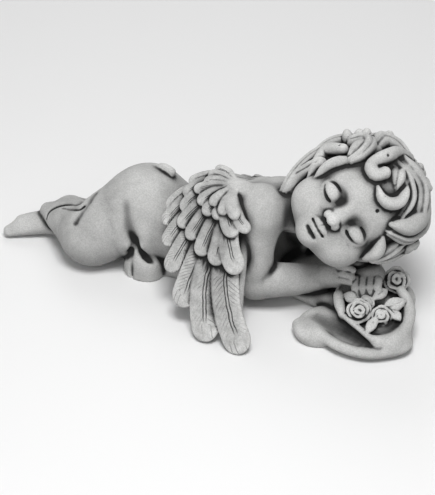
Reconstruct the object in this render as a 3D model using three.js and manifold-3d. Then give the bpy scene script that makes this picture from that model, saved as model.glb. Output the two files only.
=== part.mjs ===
// A sleeping winged child, cast in one piece of stone: it lies on its front with its legs drawn up, its
// cheek on its hands and a fold of cloth full of roses before it.
// Lengths are millimetres and angles degrees. While the figure is modelled, x runs from the feet to the
// head, y from the front line on the ground to the back, and z up from the ground.

import * as THREE from 'three'
import { mergeVertices } from 'three/addons/utils/BufferGeometryUtils.js'
import Module from 'manifold-3d'

// ---- the block, and how finely it is cut

const BLOCK_LOW = [-232, -66, -5]
const BLOCK_HIGH = [180, 164, 172]
const GRAIN = 2.4                 // spacing of the points where the form is measured
const SKIRT = 3                   // depth of the form below the ground before it is cut flat
const FACES = 9400                // triangles left after thinning
const MIDDLE = { x: -22.2, y: 50.2 }  // where the middle of the form lies while it is modelled
const STONE = { color: 0x9c9c99, roughness: 0.9, metalness: 0 }

// ---- body: round masses, each with its middle, half sizes, and how softly it runs into the rest

const TORSO = [
  { name: 'hips', at: [-88, 44, 44], half: [40, 43, 43], blend: 2 },
  { name: 'waist', at: [-50, 47, 38], half: [40, 34, 33], blend: 12 },
  { name: 'belly', at: [-16, 46, 44], half: [42, 36, 38], blend: 12 },
  { name: 'near chest', at: [18, 42, 60], half: [36, 36, 42], blend: 14 },
  { name: 'far chest', at: [22, 64, 44], half: [34, 34, 34], blend: 14 },
  { name: 'near shoulder', at: [27, 24, 90], half: [22, 21, 24], blend: 10 },
  { name: 'far shoulder', at: [33, 82, 48], half: [24, 22, 24], blend: 10 }
]

// limbs: the points that their middle line runs through, with the radius at each

const LIMBS = [
  { name: 'neck', through: [[36, 50, 84], [66, 50, 88]], radii: [23, 23], blend: 10 },
  { name: 'near thigh', through: [[-97, 38, 46], [-111, 25, 38], [-126, 14, 28]],
    radii: [33, 31, 28], blend: 5 },
  { name: 'far thigh', through: [[-92, 62, 26], [-112, 60, 22], [-128, 54, 16]],
    radii: [28, 22, 16], blend: 5 },
  { name: 'near calf', through: [[-131, 14, 26], [-149, 27, 25], [-163, 40, 24]],
    radii: [25, 21, 16], blend: 3 },
  { name: 'near heel', through: [[-137, 50, 27], [-153, 43, 25], [-170, 37, 22.5], [-184, 36, 24]],
    radii: [11, 13, 12, 6], blend: 3 },
  { name: 'near foot', through: [[-180, 34, 24], [-166, 30, 24], [-152, 26, 24]],
    radii: [8, 14, 18], blend: 4 },
  { name: 'far calf', through: [[-128, 54, 16], [-150, 48, 14], [-170, 40, 13]],
    radii: [15, 13, 12], blend: 4 },
  { name: 'far foot', through: [[-170, 38, 13], [-183, 34, 12.5], [-198, 25, 10.5], [-212, 15, 6]],
    radii: [13, 11.5, 9.5, 5.5], blend: 3 },
  { name: 'ball of the far foot', through: [[-196, 28, 12], [-204, 25, 12]], radii: [8, 6.5], blend: 3 },
  { name: 'near upper arm', through: [[27, 22, 86], [26, 16, 55], [28, 17, 24]],
    radii: [19, 17, 16], blend: 5 },
  { name: 'near forearm', through: [[28, 17, 24], [43.5, 20, 27], [62, 30, 27], [84, 38, 31]],
    radii: [16.5, 15, 13.5, 10], blend: 3 },
  { name: 'far upper arm', through: [[34, 84, 52], [56, 96, 34], [76, 100, 18]],
    radii: [21, 18, 16], blend: 6 },
  { name: 'far forearm', through: [[76, 100, 18], [98, 82, 26], [112, 64, 32]],
    radii: [16, 15, 11], blend: 4 }
]

// creases are cut along a line, with the radius at each of its points

const CREASES = [
  { name: 'flank', through: [[-97, 14, 84], [-91, 8, 72], [-87, 3, 62], [-84, 1, 52], [-81, 3, 42]],
    radii: [0.5, 2, 3, 4, 4], blend: 9 },
  { name: 'between thigh and calf',
    through: [[-134, -3, 49], [-133, 2, 54], [-132, 8, 59], [-131, 15, 63], [-132, 23, 66]],
    radii: [0.5, 1, 1.6, 2.2, 3], blend: 7 },
  { name: 'outer ankle fold',
    through: [[-177, 21, 25], [-175, 24, 32], [-168, 26, 38], [-154, 25, 45], [-138, 19, 54]],
    radii: [0.6, 1.4, 1.6, 1.4, 0.8], blend: 3 },
  { name: 'inner ankle fold', through: [[-160, 21, 42], [-150, 16, 47], [-138, 10, 53], [-133, 13, 55]],
    radii: [0.6, 1.2, 1.2, 0.8], blend: 3 },
  { name: 'elbow', through: [[39, -2, 40], [42, -1, 47], [46, 3, 53]], radii: [0.8, 1.6, 2], blend: 3 }
]
const NECK_HOLLOW = { at: [55, 40, 46], half: [22, 32, 36], blend: 5 }
const HIP_CLOTH = { through: [[-88, 58, 81], [-78, 57, 84], [-70, 56, 83]], radii: [3, 5, 4], blend: 2 }

const HANDS = [
  { name: 'near palm', at: [90, 34, 36], half: [12, 9, 9.5], blend: 4 },
  { name: 'far palm', at: [116, 50, 36], half: [15, 14, 9], blend: 4 }
]
const FAR_FINGERS = { count: 4, first: [110.6, 36, 37], step: [5.9, 1.8, 0.3], radii: [3.7, 3.7, 3] }
const FAR_FINGER_RUN = [[0, 0, 0], [2.5, -6.4, -3.5], [4.5, -8.7, -8.5]]
const NEAR_FINGERS = { count: 3, first: [94, 36, 43], step: [-0.5, -2.5, -4.5], radii: [3.8, 3.7, 3.1] }
const NEAR_FINGER_RUN = [[0, 0, 0], [7, 0, 3.2], [13.5, 0.4, 2.4]]

// ---- wings: a bent sheet, with feathers fanned out from a hub in rows that lap like tiles

const RIDGE = { y: 38, z: 112 }             // top edge of the near wing
const WING = { bend: 52, top: 12, low: 57 } // radius of its bend, and its slope above and below the bend
const WING_CURL = { from: 30, over: 95, y: 12, z: -8 }  // how it closes round the back towards the waist
const HUB = { x: 9, down: 18, half: [15, 11, 12] }      // where the feathers start, below the top edge
const FAR_WING = { plane: 50, low: 0.72, drop: 2 }      // the far wing is mirrored, and lies flatter
const FEATHER_THICK = 2.9
const FEATHER_DOME = 1.4            // how much lower a feather's edges are than its middle
const FEATHER_CREST = 0.3           // the share of that by which the middle is lifted
const FEATHER_TILT = 1.3            // lays each feather over the one beside it
const SHEET = { under: 8, half: 11, thick: 8, reach: [106, 100, 78, 62, 52, 46, 42, 36],
  along: [0.05, 0.2, 0.36, 0.52, 0.68, 0.84, 1] }
const SHEET_FAN = [-9, -2, 12, 28, 45, 62, 80, 98]

// each feather: its angle in the fan, how far it reaches and its half width

const FLIGHT = [[-15, 132, 13], [-1, 125, 13], [14, 106, 12.5], [30, 90, 9], [44, 79, 8], [57, 73, 7],
  [67, 67, 6]]
const MIDDLE_ROW = [[-15, 67, 10], [0.5, 62, 9], [16, 60, 8.5], [33, 56, 7.5], [47, 57, 7], [61, 50, 7],
  [75, 47, 6], [88, 44, 5.5]]
const SHORT_ROW = [[-34, 36, 6], [-13, 37, 8.5], [17, 27, 6.5], [38, 31, 6.5], [57, 32, 6.5], [75, 35, 5.5],
  [89, 28, 5], [103, 28, 5], [119, 27, 5]]
const CREST = [[-22, 24, 6], [6, 22, 6], [40, 22, 6]]

// each row: where its feathers start, how much further round the fan its back ones start than they end,
// how high it lies, and how far each feather lies below the one before it

const ROWS = [
  { feathers: FLIGHT, root: 22, gather: 1.4, lift: 0, lap: 0.5 },
  { feathers: MIDDLE_ROW, root: 16, gather: 1.35, lift: 4.2, lap: 0.4 },
  { feathers: SHORT_ROW, root: 10, gather: 1.15, lift: 7.4, lap: 0.35 },
  { feathers: CREST, root: 6, gather: 1, lift: 9, lap: 0.5 }
]
// a front feather starts further back than it ends, and bends forward at its tip
const FRONT_TURN = 10
const FRONT_BEND = 2.2

// ---- head: its middle, where its crown points and how far it is turned up, and its masses.
// In the head's own frame x runs to the upper side, y out of the face and z to the crown.

const HEAD = [99.5, 49, 98]
const CROWN = { round: 25, lean: 35, roll: 29, lift: 10 }
const SKULL = [
  { at: [1, -8, 10], half: [44, 52, 46], blend: 1 },
  { at: [1, 10, 14], half: [38, 40, 38], blend: 10 },
  { at: [0, 8, -14], half: [37, 36, 34], blend: 10 }
]
const CHEEK = { at: [21, 22, -22], half: [18, 18, 18], blend: 9 }
const CHIN = { at: [0, 31, -38], half: [11, 11, 9], blend: 10 }
const MUZZLE = { at: [0, 33, -27], half: [15, 11, 11], blend: 9 }
const EYE_SOCKET = { at: [18, 50, -1], half: [13, 9, 9], blend: 7 }
const EYELID = { at: [18, 34, -4], half: [11.5, 9.5, 8.5], blend: 2 }
const NOSE = { through: [[0, 41, 6], [0, 43.5, -4], [0, 47, -11]], radii: [3, 3.6, 4.4], blend: 6 }
const NOSE_TIP = { at: [0, 48.5, -13.5], half: [5.6, 5.2, 4.8], blend: 2 }
const NOSTRIL = { at: [5.4, 45.5, -14.5], half: [3.4, 4.2, 3.6], blend: 1.5 }
const UPPER_LIP = { through: [[1.4, 45, -24.6], [5, 43.8, -25], [9.5, 40, -26.8]], radii: [2.8, 2.6, 1.5],
  blend: 1.2 }
const LOWER_LIP = { through: [[-6, 42, -30.4], [0, 43.6, -31], [6, 42, -30.4]], radii: [2.2, 3.3, 2.2],
  blend: 1.2 }

// ---- hair: locks lie on a rounded cap, placed by angles round it and up from the face's level

const CAP = { at: [0, -5, 10], half: [50, 53, 49] }
const UNDER_HAIR = { at: [0, -13, 12], half: [52, 50, 50], blend: 1 }
// each lock: its path, half width and thickness, how many grooves run along it, and whether it narrows
// to its tip or to both ends
const LOCKS = [
  // strands that fall to the neck on the upper side
  { path: [[92, 10, 0], [88, -8, 3], [84, -24, 7], [80, -40, 12], [78, -52, 17]],
    half: 7, thick: 6, grooves: 1, narrows: 'tip' },
  { path: [[104, 6, -2], [100, -12, 0], [96, -30, 3], [92, -48, 7]],
    half: 8, thick: 7, grooves: 1, narrows: 'tip' },
  { path: [[66, -14, 2], [72, -26, 4], [78, -38, 9], [78, -50, 14]],
    half: 6.5, thick: 5.5, grooves: 1, narrows: 'tip' },
  { path: [[60, 10, 4], [76, -4, 4], [70, -16, 3], [60, -30, 2]],
    half: 6, thick: 5.5, grooves: 0, narrows: 'tip' },
  { path: [[42, 12, 2], [48, 0, 2], [50, -12, 2], [48, -26, 1]],
    half: 4.8, thick: 5, grooves: 0, narrows: 'tip' },
  { path: [[92, 18, 3], [92, 0, 5], [90, -16, 6]], half: 8, thick: 6, grooves: 1, narrows: 'tip' },
  // the round curl over the brow
  { path: [[74, 20, 2], [64, 30, 5], [52, 30, 6], [42, 22, 6], [40, 12, 4]],
    half: 7.5, thick: 7.5, grooves: 1, narrows: 'tip' },
  { path: [[50, 38, 2], [52, 24, 6], [46, 14, 5]], half: 7, thick: 6.5, grooves: 0, narrows: 'tip' },
  // the swirl above it, and the hook that drops to the brow
  { path: [[56, 36, 3], [78, 44, 5], [86, 58, 5], [70, 72, 4]],
    half: 9, thick: 7, grooves: 1, narrows: 'tip' },
  { path: [[58, 72, 2], [46, 56, 4], [36, 45, 6], [31, 34, 6], [26, 25, 5], [17, 25, 5], [16, 33, 4]],
    half: 6, thick: 7.5, grooves: 0, narrows: 'little' },
  // the crescent forelock
  { path: [[-9, 48, 1], [-14, 40, 4], [-16, 31, 5], [-11, 23, 5.5], [-3, 20, 5], [6, 22, 3]],
    half: 5.2, thick: 7.5, grooves: 0, narrows: 'ends' },
  { path: [[20, 56, 1], [6, 48, 2], [-4, 38, 2]], half: 9, thick: 5, grooves: 1, narrows: 'ends' },
  // bands combed to the lower side
  { path: [[40, 60, 2], [10, 66, 4], [-30, 66, 4], [-46, 52, 4], [-52, 38, 4], [-54, 28, 3]],
    half: 11, thick: 7, grooves: 1, narrows: 'tip' },
  { path: [[30, 52, 1], [4, 56, 2], [-22, 50, 2], [-30, 40, 2], [-32, 28, 1]],
    half: 9, thick: 5.5, grooves: 1, narrows: 'tip' },
  { path: [[-74, 66, 1], [-62, 48, 4], [-46, 30, 5], [-31, 17, 2]],
    half: 10, thick: 7.5, grooves: 0, narrows: 'ends' },
  { path: [[-100, 56, 2], [-86, 38, 3], [-58, 22, 3], [-38, 12, 1]],
    half: 8.5, thick: 6, grooves: 1, narrows: 'tip' },
  { path: [[-110, 40, 0], [-96, 20, 0], [-84, 0, 0], [-76, -14, 0]],
    half: 11, thick: 6, grooves: 1, narrows: 'tip' },
  { path: [[-64, 16, 0], [-66, 0, 0], [-68, -16, 1]], half: 9, thick: 5, grooves: 1, narrows: 'tip' },
  { path: [[-40, 4, 0], [-52, -8, 2], [-56, -22, 2]], half: 6, thick: 5, grooves: 0, narrows: 'ends' }
]
const TAPER = {
  little: t => 1 - 0.1 * t,
  tip: t => (1 - 0.6 * t ** 3) * (0.7 + 0.3 * Math.min(1, 4 * t)),
  ends: t => 0.25 + 0.75 * Math.abs(Math.sin(Math.PI * t)) ** 0.8
}
const TUFTS = [[84, 16, 4, 6.5], [88, 32, 4, 6], [92, 50, 4, 7.5], [104, 24, 3, 7], [106, 42, 3, 7]]
const TUFT_SHAPE = [0.75, 0.85, 1.25]                       // across, along the head and outward
// curls: angles, size, the angle where each starts to wind and its hand
const CURLS = [[-106, 74, 11, 40, 1], [-88, 20, 10, 200, -1], [40, 88, 11, 10, 1]]
const CURL_TUBE = 4.5
const CURL_TURN = 400
const CURL_RISE = 4
const BACK_ROWS = [[52, 6], [24, 8], [-6, 8], [-32, 7]]     // angle up, and how many curls and waves
const BACK_FROM = 112
const BACK_SPAN = 140
const BACK_CURL = 11.5
const BACK_WAVE = [[-8, 16, 0], [6, 4, 2], [-5, -8, 2], [2, -20, 0]]
const BACK_LOCK = { half: 7.5, thick: 5.5, grooves: 1, narrows: 'tip' }

// ---- cloth and roses

const BED = [
  { name: 'lobe under the thigh', at: [-78, 15, 6], half: [18, 13, 22], blend: 3 },
  { name: 'lobe under the belly', at: [-58, 36, 7], half: [19, 18, 16], blend: 5 },
  { name: 'bed', at: [-20, 50, 6], half: [76, 34, 16], blend: 6 },
  { name: 'bed under the arms', at: [60, 66, 8], half: [60, 34, 17], blend: 6 },
  { name: 'bed of the far rose', at: [138, 58, 12], half: [18, 16, 14], blend: 4 }
]
const BELLY_GAP = {
  through: [[-84, 3, 48], [-81, 6, 39], [-77, 7, 29], [-71, 8, 22], [-62, 8, 19], [-50, 8, 19], [-37, 9, 19]],
  radii: [2, 3.2, 3.6, 3.6, 3.6, 3.6, 3.2], blend: 2.5
}
const THIGH_EDGE = { through: [[-81, 5, 40], [-82, 4, 32], [-84, 5, 27], [-87, 6, 22], [-91, 5, 16]],
  radii: [3, 3.8, 2.8, 2.4, 2], blend: 2 }
const BELLY_SLIT = { through: [[-86, 7, 28], [-85, 3, 20], [-84, 2, 10], [-84, 3, 2]],
  radii: [3, 3.4, 2.8, 1.8], blend: 2 }
const SHEET_UNDER_ARM = { through: [[66, 42, 8], [84, 34, 10], [99, 27, 15]], radii: [10, 9, 8], blend: 4 }
const BOWL = { at: [133, 24, 6], half: [31, 34, 20], blend: 5 }
const BOWL_HOLLOW = { at: [131, 19, 33], half: [21, 24, 19], blend: 5 }
const TAIL = { at: [93, 3, 4], half: [20, 24, 14], blend: 5 }
const TAIL_SHEET = { through: [[94, 2, 6], [108, 2, 7], [124, -3, 8], [142, -4, 9], [157, 6, 9]],
  half: 16, thick: 9, blend: 5 }
const LIP = {
  through: [[77, -6, 8], [86, -16, 9], [102, -13, 9], [120, -19, 9], [141, -17, 9], [157, -4, 9]],
  radii: [5, 5, 5, 5, 6, 7], blend: 5
}
const VALLEY = {
  through: [[79, 3, 24], [88, 4, 22], [101, 1, 19.5], [116, -5, 18], [132, -11, 18], [149, -14, 19]],
  radii: [5, 9, 9, 9, 8, 5], blend: 9
}
const RIM = [
  { name: 'left end, turned up', through: [[99, 28, 25], [101, 22, 26], [105, 15, 23], [110, 9, 19]],
    radii: [3.5, 4.5, 4.5, 3], blend: 3 },
  { name: 'front', through: [[110, 9, 19], [120, 3, 19], [131, -3, 18], [141, -8, 17], [149, -9, 16]],
    radii: [2.2, 2.6, 2.2, 2.6, 3], blend: 3 },
  { name: 'right side',
    through: [[149, -9, 15], [159, -2, 16], [164, 12, 18], [162, 29, 23], [154, 41, 27], [147, 47, 30]],
    radii: [4, 5, 5, 5, 4.5, 4], blend: 6 }
]
const ROSES = [[[124, 11, 26], 10.5], [[143, 13, 25], 8.5], [[126, 22, 27.5], 6.5], [[140, 54, 33], 11.5]]
const ROSE_FACES = [0.25, -0.65, 0.72]
const PETALS = [   // rings of petals: how many, ring radius, height and petal size, all in rose radii
  { count: 5, ring: 0.68, rise: 0, size: 0.6 },
  { count: 3, ring: 0.28, rise: 0.35, size: 0.45 }
]
const PETAL_THICK = 2
const LEAVES = [
  { from: [143, 21, 27], to: [154, 34, 30], half: 6.5, facing: [0.4, -0.6, 0.7] },
  { from: [140, 8, 25], to: [138, -6, 20], half: 4.5, facing: [0.1, -0.8, 0.6] },
  { from: [117, 20, 28], to: [107, 24, 29], half: 5, facing: [-0.4, -0.5, 0.75] },
  { from: [131, 28, 30], to: [137, 39, 32], half: 5, facing: [0.3, -0.4, 0.85] },
  { from: [150, 20, 26], to: [158, 16, 24], half: 4.5, facing: [0.2, -0.4, 0.9] }
]
const LEAF_THICK = 2.2

// ---- small vector helpers; a place is [x, y, z]

const radians = THREE.MathUtils.degToRad
const add = (a, b, times = 1) => [a[0] + b[0] * times, a[1] + b[1] * times, a[2] + b[2] * times]
const dot = (a, b) => a[0] * b[0] + a[1] * b[1] + a[2] * b[2]
const cross = (a, b) => [a[1] * b[2] - a[2] * b[1], a[2] * b[0] - a[0] * b[2], a[0] * b[1] - a[1] * b[0]]
const unit = a => add([0, 0, 0], a, 1 / Math.hypot(...a))
const dist = (a, b) => Math.hypot(a[0] - b[0], a[1] - b[1], a[2] - b[2])
const clamp = THREE.MathUtils.clamp
const UPRIGHT = [[1, 0, 0], [0, 1, 0], [0, 0, 1]]

// a smooth curve through points, as count evenly numbered places along it
function smooth(points, count) {
  const curve = new THREE.CatmullRomCurve3(points.map(p => new THREE.Vector3(...p)), false, 'centripetal')
  return curve.getPoints(count - 1).map(p => p.toArray())
}

// three directions for a turned mass: sideways, forward and up
function axesOf(forward, up) {
  const top = unit(up)
  const front = unit(add(forward, top, -dot(forward, top)))
  return [cross(front, top), front, top]
}

// ---- clay: a distance measured at every point of a grid, below zero inside the form

class Clay {
  constructor() {
    this.size = BLOCK_LOW.map((low, i) => Math.ceil((BLOCK_HIGH[i] - low) / GRAIN) + 1)
    this.far = 30
    this.field = new Float32Array(this.size[0] * this.size[1] * this.size[2]).fill(this.far)
  }

  // runs change(index, distance) over the grid points near a shape
  near(shape, margin, change) {
    const cell = (v, i) => clamp(Math.floor((v - BLOCK_LOW[i]) / GRAIN), 0, this.size[i])
    const from = shape.low.map((v, i) => cell(v - margin, i))
    const to = shape.high.map((v, i) => cell(v + margin + 2 * GRAIN, i))
    for (let k = from[2]; k < to[2]; k++) {
      for (let j = from[1]; j < to[1]; j++) {
        for (let i = from[0]; i < to[0]; i++) {
          const index = (k * this.size[1] + j) * this.size[0] + i
          const x = BLOCK_LOW[0] + i * GRAIN
          const y = BLOCK_LOW[1] + j * GRAIN
          const z = BLOCK_LOW[2] + k * GRAIN
          change(index, shape.distance(x, y, z))
        }
      }
    }
  }

  // adds a shape, with a fillet of the blend's size where it meets the form
  add(shape, blend) {
    this.near(shape, blend + 3 * GRAIN, (index, d) => {
      this.field[index] = softMin(this.field[index], d, blend)
    })
  }

  // takes a shape away
  cut(shape, blend) {
    this.near(shape, blend + 3 * GRAIN, (index, d) => {
      this.field[index] = -softMin(-this.field[index], d, blend)
    })
  }

  // takes away all that lies below a height
  trimBelow(height) {
    const layer = this.size[0] * this.size[1]
    for (let i = 0; i < this.field.length; i++) {
      const z = BLOCK_LOW[2] + Math.floor(i / layer) * GRAIN
      this.field[i] = Math.max(this.field[i], height - z)
    }
  }

  // adds all of another piece of clay
  join(other, blend) {
    this.field = this.field.map((d, i) => softMin(d, other.field[i], blend))
  }
}

function softMin(a, b, blend) {
  const share = clamp(0.5 + 0.5 * (b - a) / blend, 0, 1)
  return b + (a - b) * share - blend * share * (1 - share)
}

// an ellipsoid
function ball(at, half, axes = UPRIGHT) {
  const reach = [0, 1, 2].map(i => Math.hypot(...axes.map((axis, k) => axis[i] * half[k])))
  const distance = (x, y, z) => {
    let near = 0
    let steep = 0
    for (let i = 0; i < 3; i++) {
      const q = axes[i][0] * (x - at[0]) + axes[i][1] * (y - at[1]) + axes[i][2] * (z - at[2])
      near += (q / half[i]) ** 2
      steep += (q / half[i] ** 2) ** 2
    }
    near = Math.sqrt(near)
    return near * (near - 1) / (Math.sqrt(steep) + 1e-9)
  }
  return { low: add(at, reach, -1), high: add(at, reach), distance }
}

// the box round points, widened by a margin
function boxRound(points, margin) {
  const box = new THREE.Box3()
  box.setFromPoints(points.map(p => new THREE.Vector3(...p)))
  box.expandByScalar(margin)
  return { low: box.min.toArray(), high: box.max.toArray() }
}

// a round limb through points
function limb(points, radii) {
  const distance = (x, y, z) => {
    let best = Infinity
    for (let i = 0; i + 1 < points.length; i++) {
      const a = points[i]
      const run = add(points[i + 1], a, -1)
      const out = [x - a[0], y - a[1], z - a[2]]
      const t = clamp(dot(out, run) / dot(run, run), 0, 1)
      const gap = Math.hypot(out[0] - t * run[0], out[1] - t * run[1], out[2] - t * run[2])
      best = Math.min(best, gap - radii[i] - (radii[i + 1] - radii[i]) * t)
    }
    return best
  }
  return { ...boxRound(points, Math.max(...radii)), distance }
}

// a flattened bar along a path, facing outwards: width(t) and thick(t) are its half sizes, relief(t, u)
// raises or lowers its face, where t runs along it and u across it in half widths; a flat one is a plate
// with rounded edges
function strand(path, facing, width, thick, relief = () => 0, flat = false) {
  const last = path.length - 1
  const along = path.map((p, i) => unit(add(path[Math.min(i + 1, last)], path[Math.max(i - 1, 0)], -1)))
  const out = facing.map((n, i) => unit(add(n, along[i], -dot(n, along[i]))))
  const side = along.map((a, i) => cross(a, out[i]))
  const biggest = Math.max(...path.map((p, i) => Math.max(width(i / last), thick(i / last))))
  const distance = (x, y, z) => {
    let best = Infinity
    let place = 0
    for (let i = 0; i < last; i++) {
      const a = path[i]
      const b = path[i + 1]
      const rx = b[0] - a[0]
      const ry = b[1] - a[1]
      const rz = b[2] - a[2]
      const run = (x - a[0]) * rx + (y - a[1]) * ry + (z - a[2]) * rz
      const t = clamp(run / (rx * rx + ry * ry + rz * rz), 0, 1)
      const gap = (x - a[0] - t * rx) ** 2 + (y - a[1] - t * ry) ** 2 + (z - a[2] - t * rz) ** 2
      if (gap < best) {
        best = gap
        place = i + t
      }
    }
    const i = Math.min(Math.floor(place), last - 1)
    const part = place - i
    const mix = list => [0, 1, 2].map(k => list[i][k] * (1 - part) + list[i + 1][k] * part)
    const from = add([x, y, z], mix(path), -1)
    const t = place / last
    const w = width(t)
    const h = thick(t)
    const u = dot(from, mix(side))
    const v = dot(from, mix(out))
    const a = dot(from, mix(along))
    if (flat) {
      const plan = Math.hypot(u / w, a / w)
      const rise = Math.abs(v / h)
      const near = (plan ** 4 + rise ** 4) ** 0.25 + 1e-9
      const steep = Math.hypot((plan / near) ** 3 / w, (rise / near) ** 3 / h) + 1e-9
      return (near - 1) / steep + relief(t, u / w)
    }
    const near = Math.hypot(u / w, v / h, a / w)
    const steep = Math.hypot(u / w ** 2, v / h ** 2, a / w ** 2) + 1e-9
    return near * (near - 1) / steep + relief(t, u / w)
  }
  return { ...boxRound(path, biggest), distance }
}

const addBall = (clay, mass) => clay.add(ball(mass.at, mass.half), mass.blend)
const smoothLimb = part => limb(smooth(part.through, 9), spread(part.radii, 9))
const addLimb = (clay, part) => clay.add(smoothLimb(part), part.blend)
const cutLimb = (clay, part) => clay.cut(smoothLimb(part), part.blend)
const cutBall = (clay, mass) => clay.cut(ball(mass.at, mass.half), mass.blend)

// radii at count places, run straight from one given radius to the next
function spread(radii, count) {
  return Array.from({ length: count }, (_, i) => {
    const place = i / (count - 1) * (radii.length - 1)
    const k = Math.min(Math.floor(place), radii.length - 2)
    return radii[k] + (radii[k + 1] - radii[k]) * (place - k)
  })
}

// ---- the figure

function addBody(clay) {
  for (const mass of TORSO) addBall(clay, mass)
  cutBall(clay, NECK_HOLLOW)
  for (const part of LIMBS) addLimb(clay, part)
  for (const crease of CREASES) cutLimb(clay, crease)
  addLimb(clay, HIP_CLOTH)
}

function addFingers(clay, fingers, run) {
  for (let i = 0; i < fingers.count; i++) {
    const knuckle = add(fingers.first, fingers.step, i)
    clay.add(limb(run.map(p => add(knuckle, p)), fingers.radii), 1)
  }
}

// a place on the near wing's sheet: x along the body, and how far down from its top edge
function wingAt(x, down) {
  const top = radians(WING.top)
  const low = radians(WING.low)
  const bent = Math.min(down, WING.bend * (low - top))
  const slope = top + bent / WING.bend
  const y = RIDGE.y - WING.bend * (Math.sin(slope) - Math.sin(top)) - (down - bent) * Math.cos(low)
  const z = RIDGE.z - WING.bend * (Math.cos(top) - Math.cos(slope)) - (down - bent) * Math.sin(low)
  const curl = Math.max(0, (WING_CURL.from - x) / WING_CURL.over) ** 2
  return [x, y + WING_CURL.y * curl, z + WING_CURL.z * curl]
}

// the way the sheet faces there
function wingOut(x, down) {
  const across = add(wingAt(x + 1, down), wingAt(x - 1, down), -1)
  const below = add(wingAt(x, down + 1), wingAt(x, down - 1), -1)
  return unit(cross(below, across))
}

// a place reached from the hub at an angle of the fan, lifted off the sheet, on either wing
function fanAt(reach, angle, lift, far) {
  const x = HUB.x - reach * Math.sin(radians(angle))
  const down = HUB.down + reach * Math.cos(radians(angle))
  const out = wingOut(x, down)
  const at = add(wingAt(x, down), out, lift)
  if (!far) return { at, out }
  const farAt = [at[0], 2 * FAR_WING.plane - at[1], at[2] * FAR_WING.low - FAR_WING.drop]
  return { at: farAt, out: [out[0], -out[1], out[2]] }
}

// a feather: a thin plate, wider towards its tip and a little domed across
function feather(root, reach, rootAngle, angle, half, lift, far) {
  const steps = 12
  const places = Array.from({ length: steps }, (_, i) => {
    const s = i / (steps - 1)
    const turn = angle > 0 ? s : s ** FRONT_BEND
    return fanAt(root + (reach - root) * s, rootAngle + (angle - rootAngle) * turn, lift + 1.5 * s, far)
  })
  const width = t => half * (0.6 + 0.4 * clamp(t / 0.5, 0, 1))
  const tilt = far ? FEATHER_TILT : -FEATHER_TILT
  const face = (t, u) => FEATHER_DOME * (u * u - FEATHER_CREST) + tilt * u
  return strand(places.map(p => p.at), places.map(p => p.out), width, () => FEATHER_THICK, face, true)
}

function addWing(clay, far) {
  SHEET_FAN.forEach((angle, i) => {
    const places = SHEET.along.map(s => fanAt(SHEET.reach[i] * s, angle, -SHEET.under, far))
    const sheet = strand(places.map(p => p.at), places.map(p => p.out), () => SHEET.half, () => SHEET.thick)
    clay.add(sheet, 3)
  })
  for (const row of ROWS) {
    for (let i = row.feathers.length - 1; i >= 0; i--) {
      const [angle, reach, half] = row.feathers[i]
      const lift = row.lift - row.lap * i
      const start = angle > 0 ? angle * row.gather : angle + FRONT_TURN
      clay.add(feather(row.root, reach - 0.8 * half, start, angle, half, lift, far), 0.5)
    }
  }
  const hub = fanAt(0, 0, -1, far)
  clay.add(ball(hub.at, HUB.half, axesOf([0, -1, 0], hub.out)), 4)
}

// the head's three directions: to its upper side, out of the face and to the crown
function headAxes() {
  const round = radians(CROWN.round)
  const lean = radians(CROWN.lean)
  const right = [Math.cos(round), Math.sin(round), 0]
  const toFront = [Math.sin(round) * Math.cos(lean), -Math.cos(round) * Math.cos(lean), Math.sin(lean)]
  const rise = cross(toFront, right)
  const roll = radians(CROWN.roll)
  const flat = add(add([0, 0, 0], right, Math.cos(roll)), rise, Math.sin(roll))
  const lift = radians(CROWN.lift)
  const crown = add(add([0, 0, 0], flat, Math.cos(lift)), toFront, Math.sin(lift))
  const face = add(add([0, 0, 0], toFront, Math.cos(lift)), flat, -Math.sin(lift))
  return [cross(face, crown), face, crown]
}

const HEAD_AXES = headAxes()
const turned = p => add(add(add([0, 0, 0], HEAD_AXES[0], p[0]), HEAD_AXES[1], p[1]), HEAD_AXES[2], p[2])
const inHead = p => add(HEAD, turned(p))
const otherSide = p => [-p[0], p[1], p[2]]

function addHeadBall(clay, mass, swap = p => p) {
  clay.add(ball(inHead(swap(mass.at)), mass.half, HEAD_AXES), mass.blend)
}

function addHeadLimb(clay, part, swap = p => p) {
  clay.add(limb(part.through.map(p => inHead(swap(p))), part.radii), part.blend)
}

function addFace(clay) {
  for (const mass of [...SKULL, CHIN, MUZZLE]) addHeadBall(clay, mass)
  for (const swap of [p => p, otherSide]) {
    addHeadBall(clay, CHEEK, swap)
    clay.cut(ball(inHead(swap(EYE_SOCKET.at)), EYE_SOCKET.half, HEAD_AXES), EYE_SOCKET.blend)
    for (const mass of [EYELID, NOSTRIL]) addHeadBall(clay, mass, swap)
    addHeadLimb(clay, UPPER_LIP, swap)
  }
  addHeadLimb(clay, NOSE)
  addHeadBall(clay, NOSE_TIP)
  addHeadLimb(clay, LOWER_LIP)
}

// a place over the hair cap, and the way the cap faces there
function capAt(round, up, lift) {
  const a = radians(round)
  const e = radians(up)
  const way = [Math.sin(a) * Math.cos(e), Math.cos(a) * Math.cos(e), Math.sin(e)]
  const reach = 1 / Math.hypot(way[0] / CAP.half[0], way[1] / CAP.half[1], way[2] / CAP.half[2])
  return { at: inHead(add(CAP.at, way, reach + lift)), out: turned(way) }
}

// a lock of hair, with grooves along it
function addLock(clay, lock) {
  const places = lock.path.map(([round, up, lift]) => capAt(round, up, lift - 1))
  const path = smooth(places.map(p => p.at), 14)
  const out = smooth(places.map(p => p.out), 14)
  const taper = TAPER[lock.narrows]
  const width = t => lock.half * taper(t)
  const thick = t => lock.thick * (0.4 + 0.6 * taper(t))
  const face = (t, u) => -0.9 * Math.cos(Math.PI * u * (lock.grooves + 1)) * clamp(1.2 - u * u, 0, 1)
  clay.add(strand(path, out, width, thick, lock.grooves ? face : undefined), 1)
}

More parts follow.
